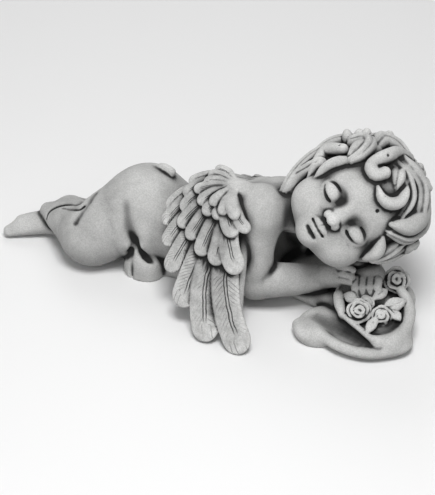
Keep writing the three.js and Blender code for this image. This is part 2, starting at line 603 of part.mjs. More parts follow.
// a curl: a lock wound up like a snail on the head
function addCurl(clay, round, up, size, start, hand) {
  const { at, out } = capAt(round, up, 1.5)
  const across = unit(cross(out, HEAD_AXES[2]))
  const beside = cross(out, across)
  const path = Array.from({ length: 16 }, (_, i) => {
    const s = i / 15
    const angle = radians(start + hand * s * CURL_TURN)
    const wide = (size - 0.6 * CURL_TUBE) * (1 - 0.8 * s)
    const flat = add(add(at, across, wide * Math.cos(angle)), beside, wide * Math.sin(angle))
    return add(flat, out, CURL_RISE * s - wide * wide / (2 * CAP.half[0]))
  })
  const width = t => CURL_TUBE * (1 - 0.3 * t)
  const thick = t => CURL_TUBE * (1.1 - 0.3 * t)
  clay.add(strand(path, path.map(() => out), width, thick), 0.8)
}

function addHair(clay) {
  addHeadBall(clay, UNDER_HAIR)
  for (const lock of LOCKS) addLock(clay, lock)
  for (const [round, up, lift, size] of TUFTS) {
    const tuft = capAt(round, up, lift)
    clay.add(ball(tuft.at, TUFT_SHAPE.map(share => share * size), axesOf(HEAD_AXES[1], tuft.out)), 0.6)
  }
  for (const curl of CURLS) addCurl(clay, ...curl)
  BACK_ROWS.forEach(([up, count], row) => {
    for (let i = 0; i < count; i++) {
      const round = BACK_FROM + (i + 0.5 * (row % 2)) * BACK_SPAN / count
      if ((i + row) % 2) addCurl(clay, round, up, BACK_CURL, 137 * i + 60 * row, i % 2 ? 1 : -1)
      else {
        const path = BACK_WAVE.map(p => [round + p[0], up + p[1], p[2]])
        addLock(clay, { path, ...BACK_LOCK })
      }
    }
  })
}

function addCloth(clay) {
  for (const mass of BED) addBall(clay, mass)
  for (const crease of [BELLY_GAP, THIGH_EDGE, BELLY_SLIT]) cutLimb(clay, crease)
  addLimb(clay, SHEET_UNDER_ARM)
  addBall(clay, BOWL)
  addBall(clay, TAIL)
  const path = smooth(TAIL_SHEET.through, 14)
  const tail = strand(path, path.map(() => [0, 0, 1]), () => TAIL_SHEET.half, () => TAIL_SHEET.thick)
  clay.add(tail, TAIL_SHEET.blend)
  addLimb(clay, LIP)
  cutLimb(clay, VALLEY)
  cutBall(clay, BOWL_HOLLOW)
  for (const part of RIM) addLimb(clay, part)
}

// a rose: rings of cupped petals that close towards the middle
function addRose(clay, at, radius) {
  const up = unit(ROSE_FACES)
  const [across, beside] = axesOf([0, 1, 0], up)
  clay.add(ball(add(at, up, -2), [0.9 * radius, 0.9 * radius, 0.6 * radius], [across, beside, up]), 1)
  PETALS.forEach((petals, ring) => {
    for (let i = 0; i < petals.count; i++) {
      const angle = 2 * Math.PI * (i + 0.5 * ring) / petals.count
      const way = add(add([0, 0, 0], across, Math.cos(angle)), beside, Math.sin(angle))
      const middle = add(add(at, way, petals.ring * radius), up, petals.rise * radius)
      const facing = unit(add(add([0, 0, 0], way, 0.8), up, 0.6))
      const half = [petals.size * radius, 0.8 * petals.size * radius, PETAL_THICK]
      clay.add(ball(middle, half, axesOf(up, facing)), 0.3)
    }
  })
}

// a leaf: wide in the middle, and humped along its length
function addLeaf(clay, leaf) {
  const middle = add(add(leaf.from, add(leaf.to, leaf.from, -1), 0.5), unit(leaf.facing), 1.5)
  const path = smooth([leaf.from, middle, leaf.to], 8)
  const width = t => leaf.half * (0.15 + 0.85 * Math.sin(Math.PI * (0.1 + 0.86 * t)) ** 0.8)
  clay.add(strand(path, path.map(() => leaf.facing), width, () => LEAF_THICK), 0.6)
}

function sculpt() {
  const figure = new Clay()
  addBody(figure)
  addCloth(figure)
  for (const mass of HANDS) addBall(figure, mass)
  addFingers(figure, FAR_FINGERS, FAR_FINGER_RUN)
  addFingers(figure, NEAR_FINGERS, NEAR_FINGER_RUN)
  for (const [at, radius] of ROSES) addRose(figure, at, radius)
  for (const leaf of LEAVES) addLeaf(figure, leaf)
  addWing(figure, false)
  addWing(figure, true)
  const face = new Clay()
  addFace(face)
  figure.join(face, 3)
  const hair = new Clay()
  addHair(hair)
  figure.join(hair, 1.5)
  return figure
}

// ---- the form's surface: each cell of the grid is six tetrahedra, and each gives 0, 1 or 2 triangles

const CLEAR = 0.45        // least distance of a grid point from the surface, against sliver triangles
const CORNER_PATHS = [[0, 1, 3, 7], [0, 2, 6, 7], [0, 4, 5, 7], [0, 3, 2, 7], [0, 5, 1, 7], [0, 6, 4, 7]]

// the crossed edges of a tetrahedron's triangles, facing outwards, for one choice of corners inside
function crossedEdges(inside) {
  const corners = [0, 1, 2, 3]
  const within = corners.filter(i => inside >> i & 1)
  const without = corners.filter(i => !(inside >> i & 1))
  const order = [...within, ...without]
  const swaps = corners.flatMap(i => corners.filter(j => j > i && order[i] > order[j])).length
  if (swaps % 2 && within.length > 1) order.splice(0, 2, order[1], order[0])
  else if (swaps % 2) order.splice(2, 2, order[3], order[2])
  const [a, b, c, d] = order
  if (within.length === 1) return [[a, b], [a, c], [a, d]]
  if (within.length === 2) return [[a, c], [a, d], [b, d], [a, c], [b, d], [b, c]]
  if (within.length === 3) return [[d, b], [d, c], [d, a]]
  return []
}

function surface(clay) {
  const [nx, ny, nz] = clay.size
  const field = clay.field.map(v => v < 0 ? Math.min(v, -CLEAR) : Math.max(v, CLEAR))
  const cases = Array.from({ length: 16 }, (_, inside) => crossedEdges(inside))
  const offset = i => (i & 1) + (i >> 1 & 1) * nx + (i >> 2 & 1) * nx * ny
  const place = index => [index % nx, Math.floor(index / nx) % ny, Math.floor(index / nx / ny)]
    .map((n, i) => BLOCK_LOW[i] + n * GRAIN)
  const numbers = new Map()
  const points = []
  const faces = []
  const crossing = (base, m, n) => {
    const key = (base + offset(m & n)) * 8 + (m ^ n)
    if (!numbers.has(key)) {
      const p = base + offset(m)
      const q = base + offset(n)
      const share = field[p] / (field[p] - field[q])
      numbers.set(key, points.length)
      points.push(add(place(p), add(place(q), place(p), -1), share))
    }
    return numbers.get(key)
  }
  for (let k = 0; k + 1 < nz; k++) {
    for (let j = 0; j + 1 < ny; j++) {
      for (let i = 0; i + 1 < nx; i++) {
        const base = (k * ny + j) * nx + i
        let corners = 0
        for (let n = 0; n < 8; n++) if (field[base + offset(n)] < 0) corners |= 1 << n
        if (corners === 0 || corners === 255) continue
        for (const path of CORNER_PATHS) {
          const inside = path.reduce((bits, n, i) => bits | (corners >> n & 1) << i, 0)
          const crossed = cases[inside].map(([a, b]) => crossing(base, path[a], path[b]))
          for (let n = 0; n < crossed.length; n += 3) faces.push(crossed.slice(n, n + 3))
        }
      }
    }
  }
  return { points, faces }
}

// the largest of the surface's separate shells: the rest are bubbles inside the stone
function outerShell({ points, faces }) {
  const parent = points.map((_, i) => i)
  const root = i => {
    while (parent[i] !== i) {
      parent[i] = parent[parent[i]]
      i = parent[i]
    }
    return i
  }
  for (const [a, b, c] of faces) {
    parent[root(b)] = root(a)
    parent[root(c)] = root(a)
  }
  const volume = new Map()
  for (const [a, b, c] of faces) {
    const share = dot(points[a], cross(points[b], points[c]))
    volume.set(root(a), (volume.get(root(a)) ?? 0) + share)
  }
  const outer = [...volume].reduce((best, entry) => entry[1] > best[1] ? entry : best)[0]
  return { points, faces: faces.filter(face => root(face[0]) === outer) }
}

// ---- thinning: edges are drawn together where that moves the surface least, which is told by the
// squared distance to the planes that met there (ten numbers of a symmetric 4 by 4 matrix)

const TERMS = 10
const SETTLED = 1e-8     // how far from parallel the planes must be to settle a place
const SLIVER = 0.06      // least height of a triangle, as a share of its longest side
const SPECK = 0.3        // a triangle of less than half this area may turn as it will
const TRIES = 14         // how often an edge is offered before it is left as it is
const TURN = 0.3         // least cosine between a triangle's facing before and after

function planeSquare(a, b, c) {
  const normal = cross(add(b, a, -1), add(c, a, -1))
  const area = Math.hypot(...normal)
  const [x, y, z] = unit(normal)
  const w = -dot([x, y, z], a)
  return [x * x, x * y, x * z, x * w, y * y, y * z, y * w, z * z, z * w, w * w].map(v => v * area)
}

function offPlanes(q, x, y, z) {
  return q[0] * x * x + 2 * q[1] * x * y + 2 * q[2] * x * z + 2 * q[3] * x + q[4] * y * y +
    2 * q[5] * y * z + 2 * q[6] * y + q[7] * z * z + 2 * q[8] * z + q[9]
}

// the place that lies nearest to all the planes, or null where they don't settle one
function nearestPlace(q) {
  const i = q[4] * q[7] - q[5] * q[5]
  const j = q[2] * q[5] - q[1] * q[7]
  const k = q[1] * q[5] - q[2] * q[4]
  const volume = q[0] * i + q[1] * j + q[2] * k
  if (Math.abs(volume) < SETTLED * (q[0] + q[4] + q[7]) ** 3) return null
  const l = q[0] * q[7] - q[2] * q[2]
  const m = q[1] * q[2] - q[0] * q[5]
  const n = q[0] * q[4] - q[1] * q[1]
  return [
    -(i * q[3] + j * q[6] + k * q[8]) / volume,
    -(j * q[3] + l * q[6] + m * q[8]) / volume,
    -(k * q[3] + m * q[6] + n * q[8]) / volume
  ]
}

// edges waiting to be drawn together, the cheapest first
class Queue {
  constructor() {
    this.cost = []
    this.edge = []
  }

  push(cost, edge) {
    let i = this.cost.length
    this.cost.push(cost)
    this.edge.push(edge)
    while (i > 0) {
      const up = (i - 1) >> 1
      if (this.cost[up] <= cost) break
      this.cost[i] = this.cost[up]
      this.edge[i] = this.edge[up]
      i = up
    }
    this.cost[i] = cost
    this.edge[i] = edge
  }

  pop() {
    const top = this.edge[0]
    const cost = this.cost.pop()
    const edge = this.edge.pop()
    const count = this.cost.length
    if (count === 0) return top
    let i = 0
    while (2 * i + 1 < count) {
      let down = 2 * i + 1
      if (down + 1 < count && this.cost[down + 1] < this.cost[down]) down++
      if (this.cost[down] >= cost) break
      this.cost[i] = this.cost[down]
      this.edge[i] = this.edge[down]
      i = down
    }
    this.cost[i] = cost
    this.edge[i] = edge
    return top
  }
}

class Thinner {
  constructor({ points, faces }) {
    this.place = points
    this.corners = faces
    this.left = faces.length
    this.around = points.map(() => [])
    this.age = new Int32Array(points.length)
    this.square = new Float64Array(points.length * TERMS)
    this.queue = new Queue()
    faces.forEach((face, f) => {
      const plane = planeSquare(...face.map(i => points[i]))
      for (const i of face) {
        this.around[i].push(f)
        for (let k = 0; k < TERMS; k++) this.square[i * TERMS + k] += plane[k]
      }
    })
    for (let i = 0; i < points.length; i++) for (const j of this.neighbours(i)) if (i < j) this.offer(i, j)
  }

  neighbours(i) {
    const found = []
    for (const f of this.around[i]) {
      for (const j of this.corners[f]) if (j !== i && !found.includes(j)) found.push(j)
    }
    return found
  }

  // where two corners meet best, and what that costs
  meeting(a, b) {
    const q = new Array(TERMS)
    for (let k = 0; k < TERMS; k++) q[k] = this.square[a * TERMS + k] + this.square[b * TERMS + k]
    const from = this.place[a]
    const to = this.place[b]
    const middle = [(from[0] + to[0]) / 2, (from[1] + to[1]) / 2, (from[2] + to[2]) / 2]
    const length = Math.hypot(from[0] - to[0], from[1] - to[1], from[2] - to[2])
    const best = nearestPlace(q)
    const isNear = best !== null && dist(best, middle) < length
    const choices = isNear ? [best] : [middle, from, to]
    const costs = choices.map(p => offPlanes(q, ...p))
    const least = Math.min(...costs)
    return { target: choices[costs.indexOf(least)], cost: Math.max(0, least) + 1e-4 * length * length }
  }

  offer(a, b) {
    const { cost } = this.meeting(a, b)
    this.queue.push(cost, { a, b, cost, tries: 1, age: this.age[a] + this.age[b] })
  }

  // an edge that can't be drawn together yet is tried again when its neighbours have changed
  offerLater(edge) {
    if (edge.tries === TRIES) return
    edge.tries++
    edge.cost = edge.cost * 1.6 + 1e-3
    this.queue.push(edge.cost, edge)
  }

  // twice a triangle's area as a vector, and its least height over its longest side
  static shape(a, b, c) {
    const area = cross(add(b, a, -1), add(c, a, -1))
    const size = Math.hypot(...area)
    const longest = Math.max(dist(a, b), dist(b, c), dist(c, a))
    return { area, size, height: size / longest ** 2 }
  }

  // true where every triangle that stays keeps its facing and some height as corner i moves
  staysSound(i, other, target) {
    for (const f of this.around[i]) {
      const face = this.corners[f]
      if (face.includes(other)) continue
      const was = Thinner.shape(...face.map(j => this.place[j]))
      const is = Thinner.shape(...face.map(j => j === i ? target : this.place[j]))
      if (was.size > SPECK && dot(was.area, is.area) < TURN * was.size * is.size) return false
      if (is.height < SLIVER && is.height < was.height) return false
    }
    return true
  }

  drawTogether(a, b, target) {
    this.place[a] = target
    for (let k = 0; k < TERMS; k++) this.square[a * TERMS + k] += this.square[b * TERMS + k]
    for (const f of this.around[b]) {
      const face = this.corners[f]
      if (face.includes(a)) {
        for (const j of face) if (j !== b) this.around[j] = this.around[j].filter(g => g !== f)
        this.corners[f] = null
        this.left--
      } else {
        face[face.indexOf(b)] = a
        this.around[a].push(f)
      }
    }
    this.around[b] = []
    this.age[a]++
    const ring = this.neighbours(a)
    for (const j of ring) this.offer(a, j)
  }

  run(goal) {
    while (this.left > goal && this.queue.cost.length > 0) {
      const edge = this.queue.pop()
      const { a, b, age } = edge
      const isGone = this.around[a].length === 0 || this.around[b].length === 0
      if (isGone || this.age[a] + this.age[b] !== age) continue
      const nearB = this.neighbours(b)
      const shared = this.neighbours(a).filter(j => nearB.includes(j))
      const { target } = this.meeting(a, b)
      const isSound = shared.length === 2 && this.staysSound(a, b, target) && this.staysSound(b, a, target)
      if (isSound) this.drawTogether(a, b, target)
      else this.offerLater(edge)
    }
    return { points: this.place, faces: this.corners.filter(face => face !== null) }
  }
}

// ---- the solid: cut flat on the ground, with the origin under its middle

const wasm = await Module()
wasm.setup()

function toGeometry({ points, faces }) {
  const geometry = new THREE.BufferGeometry()
  geometry.setAttribute('position', new THREE.Float32BufferAttribute(points.flat(), 3))
  geometry.setIndex(faces.flat())
  return geometry
}

function toSolid(geometry) {
  const bare = geometry.clone()
  bare.deleteAttribute('normal')
  bare.deleteAttribute('uv')
  const merged = mergeVertices(bare)
  const vertProperties = Float32Array.from(merged.attributes.position.array)
  const triVerts = Uint32Array.from(merged.index.array)
  return new wasm.Manifold(new wasm.Mesh({ numProp: 3, vertProperties, triVerts }))
}

function cutFlat(geometry) {
  const ground = new THREE.BoxGeometry(1000, 1000, 100)
  ground.translate(0, 0, -50)
  const mesh = toSolid(geometry).subtract(toSolid(ground)).getMesh()
  const cut = new THREE.BufferGeometry()
  cut.setAttribute('position', new THREE.BufferAttribute(mesh.vertProperties, 3))
  cut.setIndex(new THREE.BufferAttribute(mesh.triVerts, 1))
  cut.translate(-MIDDLE.x, -MIDDLE.y, 0)
  cut.computeVertexNormals()
  return cut
}

const figure = sculpt()
figure.trimBelow(-SKIRT)
const geometry = cutFlat(toGeometry(new Thinner(outerShell(surface(figure))).run(FACES)))
const cherub = new THREE.Mesh(geometry, new THREE.MeshStandardMaterial(STONE))
cherub.name = 'cherub'

const group = new THREE.Group()
group.add(cherub)

export default group
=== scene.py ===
import math

import bpy
import numpy as np
import openvdb
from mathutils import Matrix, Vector


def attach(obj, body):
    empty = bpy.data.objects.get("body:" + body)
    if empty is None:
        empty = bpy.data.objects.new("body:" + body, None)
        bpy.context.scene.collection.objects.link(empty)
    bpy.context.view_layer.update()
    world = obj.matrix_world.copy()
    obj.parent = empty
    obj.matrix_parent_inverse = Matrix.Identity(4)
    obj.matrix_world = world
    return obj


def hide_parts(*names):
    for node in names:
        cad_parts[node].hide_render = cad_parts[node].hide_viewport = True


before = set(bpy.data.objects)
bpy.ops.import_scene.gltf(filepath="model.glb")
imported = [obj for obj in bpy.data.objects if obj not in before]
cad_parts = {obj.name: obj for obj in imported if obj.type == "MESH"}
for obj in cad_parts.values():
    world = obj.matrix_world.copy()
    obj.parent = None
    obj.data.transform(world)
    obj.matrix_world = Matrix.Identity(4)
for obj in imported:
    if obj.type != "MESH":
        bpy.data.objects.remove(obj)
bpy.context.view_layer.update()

# The figure is carved as clay: a distance at every point of a grid, below zero inside the form. It is
# carved in millimetres, with x from the feet to the head, y from the front to the back and z up from
# the ground, then cut flat below and moved so that the middle of its box stands over the origin.

GRAIN = 1.1            # spacing of the grid
FINEST = 190000                               # triangles left in the finished mesh
MIDDLE = np.array([-22.2, 50.2, 0.0])         # what comes to stand over the origin
BLOCK = ((-232, -66, -12), (180, 166, 172))   # corners of the block that is carved
OUTSIDE = 30.0                                # the distance in an empty block
SEAM = 4 * GRAIN                              # how far beyond a shape and its blend the clay changes
TINY = 1e-9                                   # keeps a division from being by zero


# ---- clay and the shapes that are added to it

def unit(v):
    v = np.asarray(v, float)
    return v / np.linalg.norm(v)


def soft_min(a, b, blend):
    share = np.clip(0.5 + 0.5 * (b - a) / blend, 0, 1)
    return b + (a - b) * share - blend * share * (1 - share)


class Clay:
    def __init__(self):
        self.low = np.array(BLOCK[0], float)
        self.size = np.ceil((np.array(BLOCK[1]) - self.low) / GRAIN).astype(int) + 1
        self.field = np.full(self.size, OUTSIDE, np.float32)
        self.axes = [(low + GRAIN * np.arange(size)).astype(np.float32)
                     for low, size in zip(self.low, self.size)]

    def window(self, shape, margin):
        low = np.floor((shape.low - margin - self.low) / GRAIN).astype(int).clip(0, self.size)
        high = (np.ceil((shape.high + margin - self.low) / GRAIN).astype(int) + 1).clip(0, self.size)
        part = tuple(slice(low[i], high[i]) for i in range(3))
        x, y, z = (self.axes[i][part[i]] for i in range(3))
        return part, x[:, None, None], y[None, :, None], z[None, None, :]

    def add(self, shape, blend):
        part, x, y, z = self.window(shape, blend + SEAM)
        if self.field[part].size:
            self.field[part] = soft_min(self.field[part], shape.distance(x, y, z), blend)

    def cut(self, shape, blend):
        part, x, y, z = self.window(shape, blend + SEAM)
        if self.field[part].size:
            self.field[part] = -soft_min(-self.field[part], shape.distance(x, y, z), blend)

    def join(self, other, blend):
        self.field = soft_min(self.field, other.field, blend)


def sampled(values, clay, places):
    """Values of a grid at places, read between its points."""
    at = np.clip((places - clay.low) / GRAIN, 0, clay.size - 1.001)
    i = at.astype(int)
    f = at - i
    total = 0
    for corner in range(8):
        step = [corner & 1, corner >> 1 & 1, corner >> 2 & 1]
        share = np.prod([f[:, k] if step[k] else 1 - f[:, k] for k in range(3)], axis=0)
        total = total + share * values[i[:, 0] + step[0], i[:, 1] + step[1], i[:, 2] + step[2]]
    return total


def frame_of(forward, up):
    """Three directions for a turned mass: sideways, forward and up."""
    top = unit(up)
    front = np.asarray(forward, float)
    front = unit(front - top * (front @ top))
    return np.array([np.cross(front, top), front, top])


class Ball:
    """An ellipsoid."""

    def __init__(self, at, half, turn=None):
        self.at = np.asarray(at, float)
        self.half = np.asarray(half, float) * np.ones(3)
        self.turn = np.eye(3) if turn is None else np.asarray(turn, float)
        reach = np.sqrt(((self.turn.T * self.half) ** 2).sum(1))
        self.low, self.high = self.at - reach, self.at + reach

    def distance(self, x, y, z):
        dx, dy, dz = x - self.at[0], y - self.at[1], z - self.at[2]
        near = steep = 0
        for i in range(3):
            q = self.turn[i, 0] * dx + self.turn[i, 1] * dy + self.turn[i, 2] * dz
            near = near + (q / self.half[i]) ** 2
            steep = steep + (q / self.half[i] ** 2) ** 2
        near = np.sqrt(near)
        return near * (near - 1) / (np.sqrt(steep) + TINY)


def smooth(points, count):
    """A smooth curve through points, as count places along it."""
    p = np.asarray(points, float)
    if len(p) == 2:
        return p[0] + (p[1] - p[0]) * np.linspace(0, 1, count)[:, None]
    q = np.vstack([2 * p[0] - p[1], p, 2 * p[-1] - p[-2]])
    at = np.linspace(0, len(p) - 1, count)
    i = np.minimum(at.astype(int), len(p) - 2)
    t = (at - i)[:, None]
    a, b, c, d = q[i], q[i + 1], q[i + 2], q[i + 3]
    return 0.5 * (2 * b + (c - a) * t + (2 * a - 5 * b + 4 * c - d) * t ** 2
                  + (3 * b - 3 * c + d - a) * t ** 3)


class Limb:
    """A round limb through points, with the radius at each, or one radius for all. With steps it is
    smoothed, and has that many places along it."""

    def __init__(self, points, radii, steps=0):
        self.points = np.asarray(points, float)
        self.radii = np.asarray(radii, float) * np.ones(len(points))
        if steps:
            given = np.linspace(0, 1, len(self.radii))
            self.radii = np.interp(np.linspace(0, 1, steps), given, self.radii)
            self.points = smooth(points, steps)
        most = self.radii.max()
        self.low, self.high = self.points.min(0) - most, self.points.max(0) + most

    def distance(self, x, y, z):
        best = None
        for a, b, ra, rb in zip(self.points, self.points[1:], self.radii, self.radii[1:]):
            run = b - a
            dx, dy, dz = x - a[0], y - a[1], z - a[2]
            t = np.clip((dx * run[0] + dy * run[1] + dz * run[2]) / (run @ run), 0, 1)
            gap = np.sqrt((dx - t * run[0]) ** 2 + (dy - t * run[1]) ** 2 + (dz - t * run[2]) ** 2)
            gap = gap - ra - (rb - ra) * t
            best = gap if best is None else np.minimum(best, gap)
        return best


class Strand:
    """A flattened bar along a path that faces outwards. width and thick are its half sizes, as numbers
    or as functions of t, from 0 to 1 along it; relief(t, u) moves its face, where u runs across it in
    half widths. A flat one is a plate with rounded edges."""

    def __init__(self, path, facing, width, thick, relief=None, flat=False):
        self.path = np.asarray(path, float)
        self.last = len(self.path) - 1
        facing = np.asarray(facing, float) * np.ones((self.last + 1, 3))
        along = np.gradient(self.path, axis=0)
        self.along = along / np.linalg.norm(along, axis=1)[:, None]
        out = facing - self.along * (facing * self.along).sum(1)[:, None]
        self.out = out / np.linalg.norm(out, axis=1)[:, None]
        self.side = np.cross(self.along, self.out)
        self.width = width if callable(width) else lambda t: width + 0 * t
        self.thick = thick if callable(thick) else lambda t: thick + 0 * t
        self.relief = relief
        self.flat = flat
        t = np.linspace(0, 1, 30)
        most = max(self.width(t).max(), self.thick(t).max())
        self.low, self.high = self.path.min(0) - most, self.path.max(0) + most

    def measure(self, x, y, z):
        """The distance to it, and the nearest place: t along it and u across it."""
        gap = place = None
        for i in range(self.last):
            a = self.path[i]
            run = self.path[i + 1] - a
            dx, dy, dz = x - a[0], y - a[1], z - a[2]
            t = np.clip((dx * run[0] + dy * run[1] + dz * run[2]) / (run @ run), 0, 1)
            d = (dx - t * run[0]) ** 2 + (dy - t * run[1]) ** 2 + (dz - t * run[2]) ** 2
            if gap is None:
                gap, place = d, t + i
            else:
                closer = d < gap
                gap = np.where(closer, d, gap)
                place = np.where(closer, t + i, place)
        i = np.minimum(place.astype(np.int32), self.last - 1)
        part = place - i
        mix = lambda rows, k: rows[i, k] * (1 - part) + rows[i + 1, k] * part
        dx, dy, dz = x - mix(self.path, 0), y - mix(self.path, 1), z - mix(self.path, 2)
        across = dx * mix(self.side, 0) + dy * mix(self.side, 1) + dz * mix(self.side, 2)
        up = dx * mix(self.out, 0) + dy * mix(self.out, 1) + dz * mix(self.out, 2)
        ahead = dx * mix(self.along, 0) + dy * mix(self.along, 1) + dz * mix(self.along, 2)
        t = place / self.last
        w, h = self.width(t), self.thick(t)
        u = across / w
        if self.flat:
            plan, rise = np.sqrt(u ** 2 + (ahead / w) ** 2), np.abs(up / h)
            near = (plan ** 4 + rise ** 4) ** 0.25 + TINY
            steep = np.sqrt((plan / near) ** 6 / w ** 2 + (rise / near) ** 6 / h ** 2) + TINY
            d = (near - 1) / steep
        else:
            near = np.sqrt(u ** 2 + (up / h) ** 2 + (ahead / w) ** 2)
            steep = np.sqrt((across / w ** 2) ** 2 + (up / h ** 2) ** 2 + (ahead / w ** 2) ** 2)
            steep = steep + TINY
            d = near * (near - 1) / steep
        if self.relief is not None:
            d = d + self.relief(t, u)
        return d, t, u

    def distance(self, x, y, z):
        return self.measure(x, y, z)[0]


def add_masses(clay, masses):
    for at, half, blend in masses:
        clay.add(Ball(at, half), blend)


def add_limb(clay, limb, steps):
    points, radii, blend = limb
    clay.add(Limb(points, radii, steps), blend)


def cut_limb(clay, limb, steps):
    points, radii, blend = limb
    clay.cut(Limb(points, radii, steps), blend)


# ---- body

TORSO = [  # middle, half sizes, how softly it runs into the rest
    ((-88, 44, 44), (40, 43, 43), 2), ((-50, 47, 38), (40, 34, 33), 12),
    ((-16, 46, 44), (42, 36, 38), 12), ((18, 42, 60), (36, 36, 42), 14),
    ((22, 64, 44), (34, 34, 34), 14), ((27, 24, 90), (22, 21, 24), 10),
    ((33, 82, 48), (24, 22, 24), 10)]
LIMBS = [  # places along the limb, radii, softness
    ([(36, 50, 84), (66, 50, 88)], [23, 23], 10),                                # neck
    ([(-97, 38, 46), (-111, 25, 38), (-126, 14, 28)], [33, 31, 28], 5),          # near thigh
    ([(-92, 62, 26), (-112, 60, 22), (-128, 54, 16)], [28, 22, 16], 5),          # far thigh
    ([(-131, 14, 26), (-149, 27, 25), (-163, 40, 24)], [25, 21, 16], 3),         # near calf
    ([(-137, 50, 27), (-153, 43, 25), (-170, 37, 22.5), (-184, 36, 24)],         # near heel
     [11, 13, 12, 6], 3),
    ([(-180, 34, 24), (-166, 30, 24), (-152, 26, 24)], [8, 14, 18], 4),          # near foot
    ([(-128, 54, 16), (-150, 48, 14), (-170, 40, 13)], [15, 13, 12], 4),         # far calf
    ([(-170, 38, 13), (-183, 34, 12.5), (-198, 25, 10.5), (-212, 15, 6)],        # far foot
     [13, 11.5, 9.5, 5.5], 3),
    ([(-196, 28, 12), (-204, 25, 12)], [8, 6.5], 3),                             # ball of the far foot
    ([(27, 22, 86), (26, 16, 55), (28, 17, 24)], [19, 17, 16], 5),               # near upper arm
    ([(28, 17, 24), (43.5, 20, 27), (62, 30, 27), (84, 38, 31)],                 # near forearm
     [16.5, 15, 13.5, 10], 3),
    ([(34, 84, 52), (56, 96, 34), (76, 100, 18)], [21, 18, 16], 6),              # far upper arm
    ([(76, 100, 18), (98, 82, 26), (112, 64, 32)], [16, 15, 11], 4)]             # far forearm
HANDS = [((90, 34, 36), (12, 9, 9.5), 4), ((116, 50, 36), (15, 14, 9), 4)]
CREASES = [  # places along the crease, radii, softness
    ([(-97, 14, 84), (-91, 8, 72), (-87, 3, 62), (-84, 1, 52), (-81, 3, 42)],    # flank
     [0.5, 2, 3, 4, 4], 9),
    ([(-134, -3, 49), (-133, 2, 54), (-132, 8, 59), (-131, 15, 63), (-132, 23, 66)],   # thigh to calf
     [0.3, 0.8, 1.5, 2.2, 3], 9),
    ([(-177, 21, 25), (-175, 24, 32), (-168, 26, 38), (-154, 25, 45), (-138, 19, 54)],   # ankle
     [0.6, 1.4, 1.6, 1.4, 0.8], 3),
    ([(-160, 21, 42), (-150, 16, 47), (-138, 10, 53), (-133, 13, 55)],           # inside of the ankle
     [0.6, 1.2, 1.2, 0.8], 3),
    ([(-134, -12, 17), (-129, -12, 12), (-122, -12, 14)], [1, 1.3, 1], 2),       # below the knee
    ([(39, -2, 40), (42, -1, 47), (46, 3, 53)], [0.8, 1.6, 2], 3)]               # elbow
NECK_HOLLOW = ((55, 40, 46), (22, 32, 36), 5)
HIP_CLOTH = ([(-88, 58, 81), (-78, 57, 84), (-70, 56, 83)], [3, 5, 4], 2)
NEAR_FINGERS = [[(94, 36, 43), (101, 36, 46.5), (107, 37, 45)],
                [(94, 33, 39), (101, 33, 42), (108, 33, 41)],
                [(93, 31, 34), (100, 31, 37), (107, 31, 37)]]
NEAR_FINGER_RADII = [3.8, 3.7, 3.1]
FAR_FINGERS = 4
FAR_KNUCKLE, FAR_KNUCKLE_STEP = np.array([110.6, 36, 37]), np.array([5.9, 1.8, 0.3])
FAR_TIP, FAR_TIP_STEP = np.array([115.3, 27, 27]), np.array([5.5, 2, 1.3])
FAR_FINGER_RADII = [3.7, 3.7, 3.0]
FAR_FINGER_ARCH = (0, -2, 1)          # how its middle stands out
FINGER_BLEND = 1
LIMB_STEPS, CREASE_STEPS, HIP_CLOTH_STEPS = 9, 12, 6


def add_body(clay):
    add_masses(clay, TORSO)
    clay.cut(Ball(*NECK_HOLLOW[:2]), NECK_HOLLOW[2])
    for limb in LIMBS:
        add_limb(clay, limb, LIMB_STEPS)
    for crease in CREASES:
        cut_limb(clay, crease, CREASE_STEPS)
    add_limb(clay, HIP_CLOTH, HIP_CLOTH_STEPS)


def add_hands(clay):
    add_masses(clay, HANDS)
    for i in range(FAR_FINGERS):
        knuckle, tip = FAR_KNUCKLE + FAR_KNUCKLE_STEP * i, FAR_TIP + FAR_TIP_STEP * i
        middle = 0.5 * (knuckle + tip) + FAR_FINGER_ARCH
        clay.add(Limb([knuckle, middle, tip], FAR_FINGER_RADII), FINGER_BLEND)
    for finger in NEAR_FINGERS:
        clay.add(Limb(finger, NEAR_FINGER_RADII), FINGER_BLEND)


# ---- wings: a bent sheet with feathers fanned out from a hub, in rows that lap like tiles

RIDGE_Y, RIDGE_Z = 38.0, 112.0          # the sheet's top edge
SLOPE_TOP, SLOPE_LOW = math.radians(12), math.radians(57)   # its slopes above and below the bend
BEND = 52.0                             # the bend's radius
# from here towards the feet, over this length, the sheet closes in and sinks by these
CLOSE_FROM, CLOSE_OVER, CLOSE_IN, CLOSE_DOWN = 30, 95, 12, 8
HUB_X, HUB_DOWN, HUB_HALF, HUB_LIFT, HUB_BLEND = 9.0, 18.0, (15, 11, 12), -1.0, 4
FAR_PLANE, FAR_LOW, FAR_DROP = 50.0, 0.72, 2.0   # the far wing is mirrored here, and lies flatter
SHEET_WIDTH, SHEET_THICK, SHEET_LIFT, SHEET_BLEND = 11, 8, -8.0, 3
SHEET_START, SHEET_STEPS = 0.05, 7
SHEET_FAN = [(-9, 106), (-2, 100), (12, 78), (28, 62), (45, 52), (62, 46), (80, 42), (98, 36)]
FEATHER_THICK, FEATHER_BLEND, FEATHER_STEPS = 2.7, 0.5, 12
FEATHER_TILT = 1.2                      # lays each feather over the one beside it
FEATHER_DOME, FEATHER_CREST = 1.2, 0.35   # its edges lie this far below its middle; the middle's lift
FEATHER_ROOT, FEATHER_WIDEN = 0.6, 0.5  # share of its width at the root, and where it has all of it
TIP_LIFT = 1.5                          # how far its tip stands off the sheet
TIP_ROUND = 0.8                         # half widths by which its rounded tip stands beyond its path
FRONT_TURN, FRONT_BEND = 10, 2.2        # a front feather starts further back and bends to the front
